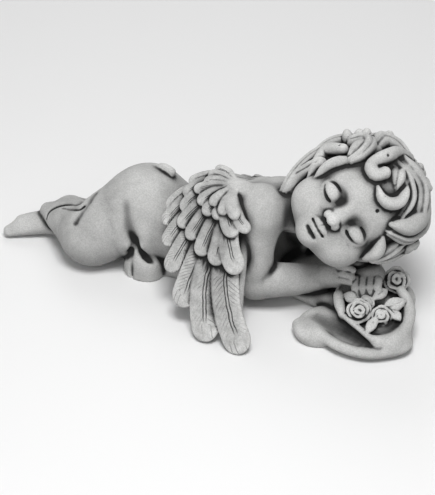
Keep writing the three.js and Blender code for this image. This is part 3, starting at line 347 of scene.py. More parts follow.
# each feather: its angle in the fan, how far it reaches and its half width
FLIGHT = [(-15, 132, 13), (-1, 125, 13), (14, 106, 12.5), (30, 90, 9), (44, 79, 8), (57, 73, 7),
          (67, 67, 6)]
MIDDLE_ROW = [(-15, 67, 10), (0.5, 62, 9), (16, 60, 8.5), (33, 56, 7.5), (47, 57, 7), (61, 50, 7),
              (75, 47, 6), (88, 44, 5.5)]
SHORT_ROW = [(-34, 36, 6), (-13, 37, 8.5), (17, 27, 6.5), (38, 31, 6.5), (57, 32, 6.5), (75, 35, 5.5),
             (89, 28, 5), (103, 28, 5), (119, 27, 5)]
CREST = [(-22, 24, 6), (6, 22, 6), (40, 22, 6)]
# each row: its feathers, where they start, how much further round the back ones start, how high it lies
# and how far each feather lies below the one before it
ROWS = [(FLIGHT, 22, 1.4, 0.0, 0.5), (MIDDLE_ROW, 16, 1.35, 4.2, 0.4), (SHORT_ROW, 10, 1.15, 7.4, 0.35),
        (CREST, 6, 1.0, 9.0, 0.5)]


def wing_at(x, down):
    """A place on the near wing's sheet: x along the body, and how far down from its top edge."""
    bent = np.minimum(down, BEND * (SLOPE_LOW - SLOPE_TOP))
    slope = SLOPE_TOP + bent / BEND
    y = RIDGE_Y - BEND * (np.sin(slope) - np.sin(SLOPE_TOP)) - (down - bent) * np.cos(SLOPE_LOW)
    z = RIDGE_Z - BEND * (np.cos(SLOPE_TOP) - np.cos(slope)) - (down - bent) * np.sin(SLOPE_LOW)
    closing = np.clip((CLOSE_FROM - x) / CLOSE_OVER, 0, None) ** 2
    return np.stack([x + 0 * y, y + CLOSE_IN * closing, z - CLOSE_DOWN * closing], -1)


def wing_out(x, down):
    """The way the sheet faces there."""
    across = wing_at(x + 1, down) - wing_at(x - 1, down)
    below = wing_at(x, down + 1) - wing_at(x, down - 1)
    out = np.cross(below, across)
    return out / np.linalg.norm(out, axis=-1)[..., None]


def fan_at(reach, angle, lift, far):
    """Places reached from the hub at angles of the fan, lifted off the sheet, and the ways it faces."""
    a = np.radians(angle)
    x, down = HUB_X - reach * np.sin(a), HUB_DOWN + reach * np.cos(a)
    out = wing_out(x, down)
    at = wing_at(x, down) + out * np.asarray(lift)[..., None]
    if far:
        at = np.stack([at[..., 0], 2 * FAR_PLANE - at[..., 1], at[..., 2] * FAR_LOW - FAR_DROP], -1)
        out = out * [1, -1, 1]
    return at, out


def feather(root, reach, root_angle, angle, half, lift, far):
    s = np.linspace(0, 1, FEATHER_STEPS)
    turn = s if angle > 0 else s ** FRONT_BEND
    at, out = fan_at(root + (reach - root) * s, root_angle + (angle - root_angle) * turn,
                     lift + TIP_LIFT * s, far)
    tilt = FEATHER_TILT if far else -FEATHER_TILT

    def width(t):
        return half * (FEATHER_ROOT + (1 - FEATHER_ROOT) * np.clip(t / FEATHER_WIDEN, 0, 1))

    def relief(t, u):
        return FEATHER_DOME * u ** 2 - FEATHER_CREST + tilt * u

    return Strand(at, out, width, FEATHER_THICK, relief, flat=True)


def wing_feathers(far):
    """The row and the shape of each feather, from the back of each row to its front."""
    found = []
    for row, (feathers, root, gather, lift, lap) in enumerate(ROWS):
        for i, (angle, reach, half) in reversed(list(enumerate(feathers))):
            start = angle * gather if angle > 0 else angle + FRONT_TURN
            end = reach - TIP_ROUND * half
            found.append((row, feather(root, end, start, angle, half, lift - lap * i, far)))
    return found


def add_wing(clay, far):
    for angle, reach in SHEET_FAN:
        along = reach * np.linspace(SHEET_START, 1, SHEET_STEPS)
        at, out = fan_at(along, angle, SHEET_LIFT * np.ones(SHEET_STEPS), far)
        clay.add(Strand(at, out, SHEET_WIDTH, SHEET_THICK), SHEET_BLEND)
    feathers = wing_feathers(far)
    for _, shape in feathers:
        clay.add(shape, FEATHER_BLEND)
    at, out = fan_at(np.array([0.0]), 0.0, np.array([HUB_LIFT]), far)
    clay.add(Ball(at[0], HUB_HALF, frame_of((0, -1, 0), out[0])), HUB_BLEND)
    return feathers


# ---- head: x runs to its upper side, y out of the face and z to the crown

HEAD = np.array([99.5, 49.0, 98.0])
ROUND, LEAN = math.radians(25), math.radians(35)   # where the face looks, round and up, before LIFT
ROLL, LIFT = math.radians(29), math.radians(10)    # how far the crown is up from level, and out


def head_axes():
    right = np.array([math.cos(ROUND), math.sin(ROUND), 0])
    front = np.array([math.sin(ROUND) * math.cos(LEAN), -math.cos(ROUND) * math.cos(LEAN),
                      math.sin(LEAN)])
    rise = np.cross(front, right)
    flat = math.cos(ROLL) * right + math.sin(ROLL) * rise
    crown = flat * math.cos(LIFT) + front * math.sin(LIFT)
    face = front * math.cos(LIFT) - flat * math.sin(LIFT)
    return np.array([np.cross(face, crown), face, crown])


AXES = head_axes()


def in_head(p):
    return HEAD + np.asarray(p, float) @ AXES


def head_ball(at, half):
    return Ball(in_head(at), half, AXES)


SKULL = [  # cranium, forehead, lower face, chin and the mass round the mouth
    ((1, -8, 10), (44, 52, 46), 1), ((1, 10, 14), (38, 40, 38), 10), ((0, 8, -14), (37, 36, 34), 10),
    ((0, 31, -38), (11, 11, 9), 10), ((0, 33, -27), (15, 11, 11), 9)]
CHEEK = ((21, 22, -22), (18, 18, 18), 9)
EYE_SOCKET = ((18, 50, -1), (13, 9, 9), 7)
LID_AT, LID_HALF, LID_BLEND = np.array([18, 34, -4.0]), np.array([11.5, 9.5, 8.5]), 2
NOSE = ([(0, 41, 6), (0, 43.5, -4), (0, 47, -11)], [3, 3.6, 4.4], 6)
NOSE_TIP = ((0, 48.5, -13.5), (5.6, 5.2, 4.8), 2)
NOSTRIL = ((5.4, 45.5, -14.5), (3.4, 4.2, 3.6), 1.5)
NOSTRIL_HOLE = ([(2.6, 49, -18.5), (3.4, 46, -18)], 1.3, 1)
UPPER_LIP = ([(1.4, 45, -24.6), (5, 43.8, -25), (9.5, 40, -26.8)], [2.8, 2.6, 1.5], 1.2)
LIP_GROOVE = ([(0, 48.2, -21), (0, 47.4, -23.5)], [1.2, 1], 1.5)
LOWER_LIP = ([(-6, 42, -30.4), (0, 43.6, -31), (6, 42, -30.4)], [2.2, 3.3, 2.2], 1.2)
MOUTH_LINE = ([(-10.5, 41, -27.4), (-5, 45.4, -27.6), (0, 47, -28), (5, 45.4, -27.6),
               (10.5, 41, -27.4)], [0.8, 1.1, 1.2, 1.1, 0.8], 1)
UNDER_LIP = ([(-5, 43, -34.5), (0, 44, -35), (5, 43, -34.5)], [1, 2, 1], 4)
LID_SPAN, LID_DOME, LID_LEAST = 0.95, 0.85, 0.05
LASHES, LID_FOLD = (-0.62, 1.3, 0.8), (0.8, 0.8, 2)   # height on the lid, radius, softness


def in_head_limb(points, radii):
    return Limb([in_head(p) for p in points], radii)


def lid_line(side, height, radius):
    """A line across an eyelid's dome: the lashes below or the fold above."""
    points = []
    for a in np.linspace(-LID_SPAN, LID_SPAN, 9):
        rise = height * math.sqrt(1 - a * a)
        out = math.sqrt(max(LID_LEAST, 1 - LID_DOME * a * a - rise * rise))
        points.append((LID_AT + LID_HALF * (a, out, rise)) * (side, 1, 1))
    return in_head_limb(points, radius)


def face_mass(shape, side=1):
    """A mass of the face and its softness, on the upper side or, at -1, on the lower."""
    at, half, blend = shape
    return head_ball(np.multiply(at, (side, 1, 1)), half), blend


def face_line(shape, side=1):
    """A limb of the face and its softness, in the same way."""
    points, radii, blend = shape
    return in_head_limb(np.multiply(points, (side, 1, 1)), radii), blend


def add_face(clay):
    for shape in SKULL:
        clay.add(*face_mass(shape))
    for side in (1, -1):
        clay.add(*face_mass(CHEEK, side))
        clay.cut(*face_mass(EYE_SOCKET, side))
        clay.add(*face_mass((LID_AT, LID_HALF, LID_BLEND), side))
    clay.add(*face_line(NOSE))
    clay.add(*face_mass(NOSE_TIP))
    for side in (1, -1):
        clay.add(*face_mass(NOSTRIL, side))
        clay.cut(*face_line(NOSTRIL_HOLE, side))
        clay.add(*face_line(UPPER_LIP, side))
        clay.cut(*face_line(LIP_GROOVE))
    clay.add(*face_line(LOWER_LIP))
    clay.cut(*face_line(MOUTH_LINE))
    clay.cut(*face_line(UNDER_LIP))
    for side in (1, -1):
        for height, radius, blend in (LASHES, LID_FOLD):
            clay.cut(lid_line(side, height, radius), blend)


# ---- hair: locks lie on a rounded cap, placed by (round, up, lift): degrees round from the face's
# front to the upper side, degrees up from the face's level, and millimetres above the cap

CAP_AT, CAP_HALF = np.array([0, -5, 10.0]), np.array([50, 53, 49.0])
UNDER_HAIR = ((0, -13, 12), (52, 50, 50), 1)
LOCK_SUNK, LOCK_BLEND, LOCK_STEPS = 1, 1, 14
GROOVE = 0.9                            # how deep the grooves are, and how high the ridges
LOCKS = [  # path, half width, half thickness, grooves, how it narrows: 1 to its tip, 2 to both ends
    ([(92, 10, 0), (88, -8, 3), (84, -24, 7), (80, -40, 12), (78, -52, 17)], 7, 6, 1, 1),
    ([(104, 6, -2), (100, -12, 0), (96, -30, 3), (92, -48, 7)], 8, 7, 1, 1),
    ([(66, -14, 2), (72, -26, 4), (78, -38, 9), (78, -50, 14)], 6.5, 5.5, 1, 1),
    ([(60, 10, 4), (76, -4, 4), (70, -16, 3), (60, -30, 2)], 6, 5.5, 0, 1),
    ([(42, 12, 2), (48, 0, 2), (50, -12, 2), (48, -26, 1)], 4.8, 5, 0, 1),
    ([(92, 18, 3), (92, 0, 5), (90, -16, 6)], 8, 6, 1, 1),
    ([(74, 20, 2), (64, 30, 5), (52, 30, 6), (42, 22, 6), (40, 12, 4)], 7.5, 7.5, 1, 1),
    ([(50, 38, 2), (52, 24, 6), (46, 14, 5)], 7, 6.5, 0, 1),
    ([(56, 36, 3), (78, 44, 5), (86, 58, 5), (70, 72, 4)], 9, 7, 1, 1),
    ([(58, 72, 2), (46, 56, 4), (36, 45, 6), (31, 34, 6), (26, 25, 5), (17, 25, 5), (16, 33, 4)],
     6, 7.5, 0, 0),
    ([(-9, 48, 1), (-14, 40, 4), (-16, 31, 5), (-11, 23, 5.5), (-3, 20, 5), (6, 22, 3)],
     5.2, 7.5, 0, 2),
    ([(20, 56, 1), (6, 48, 2), (-4, 38, 2)], 9, 5, 1, 2),
    ([(40, 60, 2), (10, 66, 4), (-30, 66, 4), (-46, 52, 4), (-52, 38, 4), (-54, 28, 3)],
     11, 7, 1, 1),
    ([(30, 52, 1), (4, 56, 2), (-22, 50, 2), (-30, 40, 2), (-32, 28, 1)], 9, 5.5, 1, 1),
    ([(-74, 66, 1), (-62, 48, 4), (-46, 30, 5), (-31, 17, 2)], 10, 7.5, 0, 2),
    ([(-100, 56, 2), (-86, 38, 3), (-58, 22, 3), (-38, 12, 1)], 8.5, 6, 1, 1),
    ([(-110, 40, 0), (-96, 20, 0), (-84, 0, 0), (-76, -14, 0)], 11, 6, 1, 1),
    ([(-64, 16, 0), (-66, 0, 0), (-68, -16, 1)], 9, 5, 1, 1),
    ([(-40, 4, 0), (-52, -8, 2), (-56, -22, 2)], 6, 5, 0, 2)]
# each tuft: round, up, lift and size
TUFTS = [(84, 16, 4, 6.5), (88, 32, 4, 6), (92, 50, 4, 7.5), (104, 24, 3, 7), (106, 42, 3, 7)]
TUFT_ACROSS, TUFT_LONG, TUFT_TALL, TUFT_BLEND = 0.75, 0.85, 1.25, 0.6   # half sizes for a tuft of 1
# each curl: round, up, size, the degree where it starts to wind, and its hand
CURLS = [(-106, 74, 11, 40, 1), (-88, 20, 10, 200, -1), (40, 88, 11, 10, 1)]
CURL_TUBE, CURL_LIFT, CURL_BLEND, CURL_STEPS = 4.5, 1.5, 0.8, 16
CURL_TURN, CURL_CLOSES, CURL_RISE = 400, 0.8, 4   # degrees wound, share of radius lost, middle's lift
# the back of the head: rows of curls and waves in turn, each row with its height up and their number
BACK_ROWS = [(52, 6), (24, 8), (-6, 8), (-32, 7)]
BACK_FROM, BACK_OVER = 112, 140         # where the rows start, and the degrees they go round
BACK_CURL, BACK_TURN, BACK_ROW_TURN = 13.5, 137, 60   # size, and the turn from one to the next
BACK_WAVE = [(-8, 16, 0), (6, 4, 2), (-5, -8, 2), (2, -20, 0)]
BACK_WAVE_SHAPE = (10, 6, 2, 2)         # half width, half thickness, grooves, narrowing


def cap_at(round_, up, lift):
    """A place over the cap, and the way the cap faces there."""
    a, e = math.radians(round_), math.radians(up)
    way = np.array([math.sin(a) * math.cos(e), math.cos(a) * math.cos(e), math.sin(e)])
    reach = 1 / math.sqrt(((way / CAP_HALF) ** 2).sum())
    return in_head(CAP_AT + way * (reach + lift)), way @ AXES


def lock(path, half, thick, grooves, narrowing):
    places = [cap_at(a, e, lift - LOCK_SUNK) for a, e, lift in path]
    at = smooth([p[0] for p in places], LOCK_STEPS)
    out = smooth([p[1] for p in places], LOCK_STEPS)

    def taper(t):
        if narrowing == 1:
            return (1 - 0.6 * t ** 3) * (0.7 + 0.3 * np.clip(4 * t, 0, 1))
        if narrowing == 2:
            return 0.25 + 0.75 * np.abs(np.sin(math.pi * t)) ** 0.8
        return 1 - 0.1 * t

    def relief(t, u):
        return -GROOVE * np.cos(2 * math.pi * u * (grooves + 1) / 2) * np.clip(1.2 - u ** 2, 0, 1)

    return Strand(at, out, lambda t: half * taper(t), lambda t: thick * (0.4 + 0.6 * taper(t)),
                  relief if grooves else None)


def curl(round_, up, size, start, hand):
    """A lock wound up like a snail, with its middle lifted."""
    at, out = cap_at(round_, up, CURL_LIFT)
    across = unit(np.cross(out, AXES[2]))
    beside = np.cross(out, across)
    s = np.linspace(0, 1, CURL_STEPS)
    angle = np.radians(start + hand * s * CURL_TURN)
    wide = (size - 0.6 * CURL_TUBE) * (1 - CURL_CLOSES * s)
    path = at + (wide * np.cos(angle))[:, None] * across + (wide * np.sin(angle))[:, None] * beside
    path = path + (CURL_RISE * s - wide ** 2 / (2 * CAP_HALF[0]))[:, None] * out
    return Strand(path, out, lambda t: CURL_TUBE * (1 - 0.3 * t), lambda t: CURL_TUBE * (1.1 - 0.3 * t))


def add_hair(clay):
    clay.add(*face_mass(UNDER_HAIR))
    for given in LOCKS:
        clay.add(lock(*given), LOCK_BLEND)
    for round_, up, lift, size in TUFTS:
        at, out = cap_at(round_, up, lift)
        half = (TUFT_ACROSS * size, TUFT_LONG * size, TUFT_TALL * size)
        clay.add(Ball(at, half, frame_of(AXES[1], out)), TUFT_BLEND)
    for given in CURLS:
        clay.add(curl(*given), CURL_BLEND)
    for row, (up, count) in enumerate(BACK_ROWS):
        for i in range(count):
            round_ = BACK_FROM + (i + 0.5 * (row % 2)) * BACK_OVER / count
            if (i + row) % 2:
                start, hand = BACK_TURN * i + BACK_ROW_TURN * row, 1 if i % 2 else -1
                clay.add(curl(round_, up, BACK_CURL, start, hand), CURL_BLEND)
            else:
                wave = [(round_ + a, up + e, lift) for a, e, lift in BACK_WAVE]
                clay.add(lock(wave, *BACK_WAVE_SHAPE), LOCK_BLEND)


PITS = [(78, 34), (66, 36), (84, 20), (58, 22), (52, 30), (30, 40), (8, 30), (-4, 22), (-12, 12),
        (62, 8)]                        # round and up
PIT, PIT_BLEND = (1.1, 1.7), 0.4        # least and greatest radius
PIT_FROM, PIT_TO, PIT_STEP = 66, 30, -0.5   # where the surface is looked for, out from the cap's middle


def add_pits(clay):
    """Small holes left in the casting, on the hair and brow."""
    rng = np.random.default_rng(11)
    reach = np.arange(PIT_FROM, PIT_TO, PIT_STEP)
    for round_, up in PITS:
        way = cap_at(round_, up, 0)[1]
        along = in_head(CAP_AT) + reach[:, None] * way
        solid = sampled(clay.field, clay, along) < 0
        if solid.any():
            clay.cut(Ball(along[np.argmax(solid)], rng.uniform(*PIT)), PIT_BLEND)


# ---- cloth and roses

BED = [  # middle, half sizes, softness
    ((-78, 15, 6), (18, 13, 22), 3),        # lobe under the thigh
    ((-58, 36, 7), (19, 18, 16), 5),        # lobe under the belly
    ((-20, 50, 6), (76, 34, 16), 6),
    ((60, 66, 8), (60, 34, 17), 6),         # under the arms
    ((138, 58, 12), (18, 16, 14), 4)]       # under the far rose
BELLY_GAP = ([(-84, 3, 48), (-81, 6, 39), (-77, 7, 29), (-71, 8, 22), (-62, 8, 19), (-50, 8, 19),
              (-37, 9, 19)], [2, 3.2, 3.6, 3.6, 3.6, 3.6, 3.2], 2.5)
THIGH_EDGE = ([(-81, 5, 40), (-82, 4, 32), (-84, 5, 27), (-87, 6, 22), (-91, 5, 16)],
              [3, 3.8, 2.8, 2.4, 2], 2)
BELLY_SLIT = ([(-86, 7, 28), (-85, 3, 20), (-84, 2, 10), (-84, 3, 2)], [3, 3.4, 2.8, 1.8], 2)
SHEET_UNDER_ARM = ([(66, 42, 8), (84, 34, 10), (99, 27, 15)], [10, 9, 8], 4)
BOWL = ((133, 24, 6), (31, 34, 20), 5)
TAIL = ((93, 3, 4), (20, 24, 14), 5)
# a plate, with its half width and half thickness
TAIL_SHEET = ([(94, 2, 6), (108, 2, 7), (124, -3, 8), (142, -4, 9), (157, 6, 9)], 16, 9, 5)
LIP = ([(77, -6, 8), (86, -16, 9), (102, -13, 9), (120, -19, 9), (141, -17, 9), (157, -4, 9)],
       [5, 5, 5, 5, 6, 7], 5)
VALLEY = ([(79, 3, 24), (88, 4, 22), (101, 1, 19.5), (116, -5, 18), (132, -11, 18), (149, -14, 19)],
          [5, 9, 9, 9, 8, 5], 9)
BOWL_HOLLOW = ((131, 19, 33), (21, 24, 19), 5)
RIM = [  # the left end turned up, the frayed front, and the smooth right side
    ([(99, 28, 25), (101, 22, 26), (105, 15, 23), (110, 9, 19)], [3.5, 4.5, 4.5, 3], 3),
    ([(110, 9, 19), (120, 3, 19), (131, -3, 18), (141, -8, 17), (149, -9, 16)],
     [2.2, 2.6, 2.2, 2.6, 3], 3),
    ([(149, -9, 15), (159, -2, 16), (164, 12, 18), (162, 29, 23), (154, 41, 27), (147, 47, 30)],
     [4, 5, 5, 5, 4.5, 4], 6)]
NOTCHES = [((113, 9, 22), 1.6), ((120, 5, 22.5), 1.4), ((127, 0, 21.5), 1.8), ((134, -4, 20.5), 1.4),
           ((100, 30, 29), 2)]          # where the rim is frayed
NOTCH_BLEND = 0.8
GAP_STEPS, ARM_SHEET_STEPS, TAIL_STEPS, LIP_STEPS, RIM_STEPS = 12, 9, 14, 18, 14


def add_cloth(clay):
    add_masses(clay, BED)
    for gap in (BELLY_GAP, THIGH_EDGE, BELLY_SLIT):
        cut_limb(clay, gap, GAP_STEPS)
    add_limb(clay, SHEET_UNDER_ARM, ARM_SHEET_STEPS)
    add_masses(clay, (BOWL, TAIL))
    points, half, thick, blend = TAIL_SHEET
    clay.add(Strand(smooth(points, TAIL_STEPS), (0, 0, 1), half, thick), blend)
    add_limb(clay, LIP, LIP_STEPS)
    cut_limb(clay, VALLEY, LIP_STEPS)
    clay.cut(Ball(*BOWL_HOLLOW[:2]), BOWL_HOLLOW[2])
    for part in RIM:
        add_limb(clay, part, RIM_STEPS)
    for at, radius in NOTCHES:
        clay.cut(Ball(at, radius), NOTCH_BLEND)


ROSES = [((124, 11, 26), 10.5), ((143, 13, 25), 8.5), ((126, 22, 27.5), 6.5), ((140, 54, 33), 11.5)]
ROSE_FACES = (0.25, -0.65, 0.72)
ROSE_TURN = 40                              # degrees from one rose to the next
# rings of petals: how many, ring radius, rise, degrees that each spans, height; lengths in rose radii
PETALS = [(5, 0.78, -0.2, 92, 0.42), (4, 0.5, 0.1, 104, 0.36), (3, 0.24, 0.28, 130, 0.3)]
PETAL_THICK = 1.15                          # half thickness
PETAL_BULGE, PETAL_CLOSES, PETAL_RISE = 0.1, 0.2, 0.16   # its outward bulge, inward run and arch
PETAL_UNEVEN, PETAL_UNEVEN_TURN = 0.06, 14  # by how much they differ in radius and in degrees
PETAL_OUT, PETAL_LEAN = 0.8, 0.6            # the way a petal faces: outwards and down
ROSE_DEEP, ROSE_HEIGHT, ROSE_WIDE, ROSE_BUD = 0.3, 0.6, 0.9, 0.17   # its ball and bud, in rose radii
ROSE_BLEND, PETAL_BLEND, LEAF_BLEND = 1, 0.4, 0.6
LEAF_ARCH, LEAF_THICK = 1.5, 2.2
LEAF_RIB, LEAF_RIB_WIDE = 0.9, 0.2          # depth of the middle rib, and its share of the half width
LEAVES = [  # from, to, half width, facing
    ((143, 21, 27), (154, 34, 30), 6.5, (0.4, -0.6, 0.7)),
    ((140, 8, 25), (138, -6, 20), 4.5, (0.1, -0.8, 0.6)),
    ((117, 20, 28), (107, 24, 29), 5, (-0.4, -0.5, 0.75)),
    ((131, 28, 30), (137, 39, 32), 5, (0.3, -0.4, 0.85)),
    ((150, 20, 26), (158, 16, 24), 4.5, (0.2, -0.4, 0.9))]


def add_leaf(clay, stalk, tip, half, facing):
    path = smooth([stalk, 0.5 * (np.add(stalk, tip)) + unit(facing) * LEAF_ARCH, tip], 8)

    def width(t):
        return half * (0.15 + 0.85 * np.abs(np.sin(math.pi * (0.1 + 0.86 * t))) ** 0.8)

    def relief(t, u):
        return LEAF_RIB * np.exp(-(u / LEAF_RIB_WIDE) ** 2)

    clay.add(Strand(path, facing, width, LEAF_THICK, relief), LEAF_BLEND)


def petal(at, radius, first, span, wide, rise, tall, uneven):
    """A thin wall that winds a little inwards from its first degree, and bulges in its middle."""
    up = unit(ROSE_FACES)
    across, beside, _ = frame_of((0, 1, 0), up)
    swirl = np.linspace(0, 1, 7)
    angle = np.radians(first + span * swirl)
    way = np.cos(angle)[:, None] * across + np.sin(angle)[:, None] * beside
    bulge = np.sin(swirl * math.pi)[:, None]
    spiral = wide + PETAL_BULGE * bulge - PETAL_CLOSES * swirl[:, None] + PETAL_UNEVEN * uneven
    path = at + way * radius * spiral + up * radius * (rise + PETAL_RISE * bulge)
    return Strand(path, way * PETAL_OUT - up * PETAL_LEAN,
                  lambda t: tall * radius * (0.5 + 0.5 * np.sin(t * math.pi)), PETAL_THICK)


def add_rose(clay, at, radius, turn):
    up = unit(ROSE_FACES)
    at = np.asarray(at, float)
    across, beside, _ = frame_of((0, 1, 0), up)
    half = (ROSE_WIDE * radius, ROSE_WIDE * radius, ROSE_HEIGHT * radius)
    clay.add(Ball(at - up * ROSE_DEEP * radius, half, [across, beside, up]), ROSE_BLEND)
    clay.add(Ball(at + up * ROSE_DEEP * radius, ROSE_BUD * radius), PETAL_BLEND)
    for ring, (count, wide, rise, span, tall) in enumerate(PETALS):
        for i in range(count):
            uneven = math.sin(5.3 * i + 2.1 * ring + turn)
            first = turn + 360 * (i + 0.5 * ring) / count - span / 2 + PETAL_UNEVEN_TURN * uneven
            clay.add(petal(at, radius, first, span, wide, rise, tall, uneven), PETAL_BLEND)


def add_roses(clay):
    for n, (at, radius) in enumerate(ROSES):
        add_rose(clay, at, radius, ROSE_TURN * n)
    for given in LEAVES:
        add_leaf(clay, *given)


# ---- the figure

FACE_BLEND, HAIR_BLEND = 3, 1.5


def sculpt():
    """The whole figure as clay, and the row and shape of each feather."""
    figure = Clay()
    add_body(figure)
    add_cloth(figure)
    add_hands(figure)
    add_roses(figure)
    feathers = add_wing(figure, False) + add_wing(figure, True)
    face = Clay()
    add_face(face)
    figure.join(face, FACE_BLEND)
    hair = Clay()
    add_hair(hair)
    figure.join(hair, HAIR_BLEND)
    add_pits(figure)
    ground = -figure.axes[2][None, None, :]
    figure.field = np.maximum(figure.field, ground).astype(np.float32)
    return figure, feathers


def blurred(values, reach):
    """A box blur along each axis in turn."""
    for axis in range(3):
        total = np.cumsum(values, axis=axis, dtype=np.float32)
        ahead = np.roll(total, -reach, axis)
        behind = np.roll(total, reach + 1, axis)
        values = (ahead - behind) / (2 * reach + 1)
    return values


def make_mesh(clay):
    """The clay's surface, in metres."""
    grid = openvdb.FloatGrid(background=OUTSIDE)
    grid.copyFromArray(clay.field)
    points, triangles, quads = grid.convertToPolygons(isovalue=0.0, adaptivity=0.0)
    points = np.asarray(points) * GRAIN + clay.low
    mesh = bpy.data.meshes.new("cherub_stone")
    faces = [tuple(int(i) for i in face) for group in (quads, triangles) for face in group]
    mesh.from_pydata((points - MIDDLE) / 1000, [], faces)
    mesh.update()
    return mesh


def add_attribute(mesh, name, values):
    layer = mesh.attributes.new(name, "FLOAT", "POINT")
    layer.data.foreach_set("value", np.ascontiguousarray(values, np.float32))


NEAR = 2.0             # how far round a strand places are looked at
ON_FEATHER = 1.2       # how near a place of the surface is to the feather that it belongs to
FINE_REACH, WIDE_REACH = 2.2, 8   # how far round a place the stone is counted for the two hollows


def near_strand(shapes, places):
    """For each place the nearest strand's number, where on it the place is and how far off."""
    best = np.full(len(places), OUTSIDE)
    number = np.full(len(places), -1)
    along, across = np.zeros(len(places)), np.zeros(len(places))
    for n, shape in enumerate(shapes):
        close = (places > shape.low - NEAR) & (places < shape.high + NEAR)
        within = np.flatnonzero(np.all(close, axis=1))
        if len(within) == 0:
            continue
        d, t, u = shape.measure(*places[within].T)
        closer = d < best[within]
        i = within[closer]
        best[i], number[i], along[i], across[i] = d[closer], n, t[closer], u[closer]
    return number, along, across, best


def build_figure():
    clay, feathers = sculpt()
    mesh = make_mesh(clay)
    piece = bpy.data.objects.new("cherub_stone", mesh)
    bpy.context.scene.collection.objects.link(piece)
    mesh.calc_loop_triangles()
    ratio = FINEST / len(mesh.loop_triangles)
    if ratio < 1:
        thin = piece.modifiers.new("thin", "DECIMATE")
        thin.ratio = ratio
        bpy.context.view_layer.objects.active = piece
        piece.select_set(True)
        bpy.ops.object.modifier_apply(modifier="thin")
        mesh = piece.data
    mesh.polygons.foreach_set("use_smooth", np.ones(len(mesh.polygons), bool))
    places = np.empty(3 * len(mesh.vertices))
    mesh.vertices.foreach_get("co", places)
    places = places.reshape(-1, 3) * 1000 + MIDDLE
    solid = np.clip(0.5 - clay.field / GRAIN, 0, 1).astype(np.float32)
    # how deep in a hollow each place lies, for the dirt and painted shade in the stone's hollows
    for name, reach in (("hollow_fine", FINE_REACH), ("hollow_wide", WIDE_REACH)):
        add_attribute(mesh, name, sampled(blurred(solid, max(1, round(reach / GRAIN))), clay, places))
    number, along, across, gap = near_strand([shape for _, shape in feathers], places)
    rows = np.array([row for row, _ in feathers] + [-1])    # the last is for places near no feather
    is_feather = (gap < ON_FEATHER) & (number >= 0)
    add_attribute(mesh, "plume", is_feather.astype(float))
    add_attribute(mesh, "plume_row", rows[number])
    add_attribute(mesh, "plume_along", along)
    add_attribute(mesh, "plume_across", across)
    return piece


# ---- stone

STONE_GREYS = [(0.0, 0.57), (0.2, 0.36), (0.5, 0.13), (0.8, 0.035), (1.0, 0.015)]   # dirt and painted shade, and its grey
BLUE_SHARE = 0.985                      # the grey is a little warm
ROUGHNESS, GLOSS = 0.86, 0.3
BARBED_ROWS, QUILLED_ROWS = 0.5, 2.5    # rows of feathers below these numbers have barbs, and quills
QUILL, QUILL_HALF = 0.1, 0.055          # where its sides run and their half width, in half widths
QUILL_WANDER, QUILL_SHIFT = 0.3, -0.22
BARBS, BARB_SLANT, BARB_SHARP = 24, -3.2, 9.0   # their number along a feather, slant and thinness
BARB_DEPTH = 0.6
# how dark the fine hollows, the wide hollows and the feathers' cut lines are: dirt and painted shade
FINE_DIRT_AND_SHADE, WIDE_DIRT_AND_SHADE, CUT_DIRT_AND_SHADE = 0.7, 0.72, 0.62
WEAR_AND_HIGHLIGHT = 0.22                           # how much paler the high places are: wear and a painted highlight
BUMP, BUMP_DEPTH = 0.6, 0.0008
GRAIN_BUMP, CUT_BUMP = 0.7, -1.2


def node(tree, kind, **values):
    made = tree.nodes.new(kind)
    for name, value in values.items():
        setattr(made, name, value)
    return made


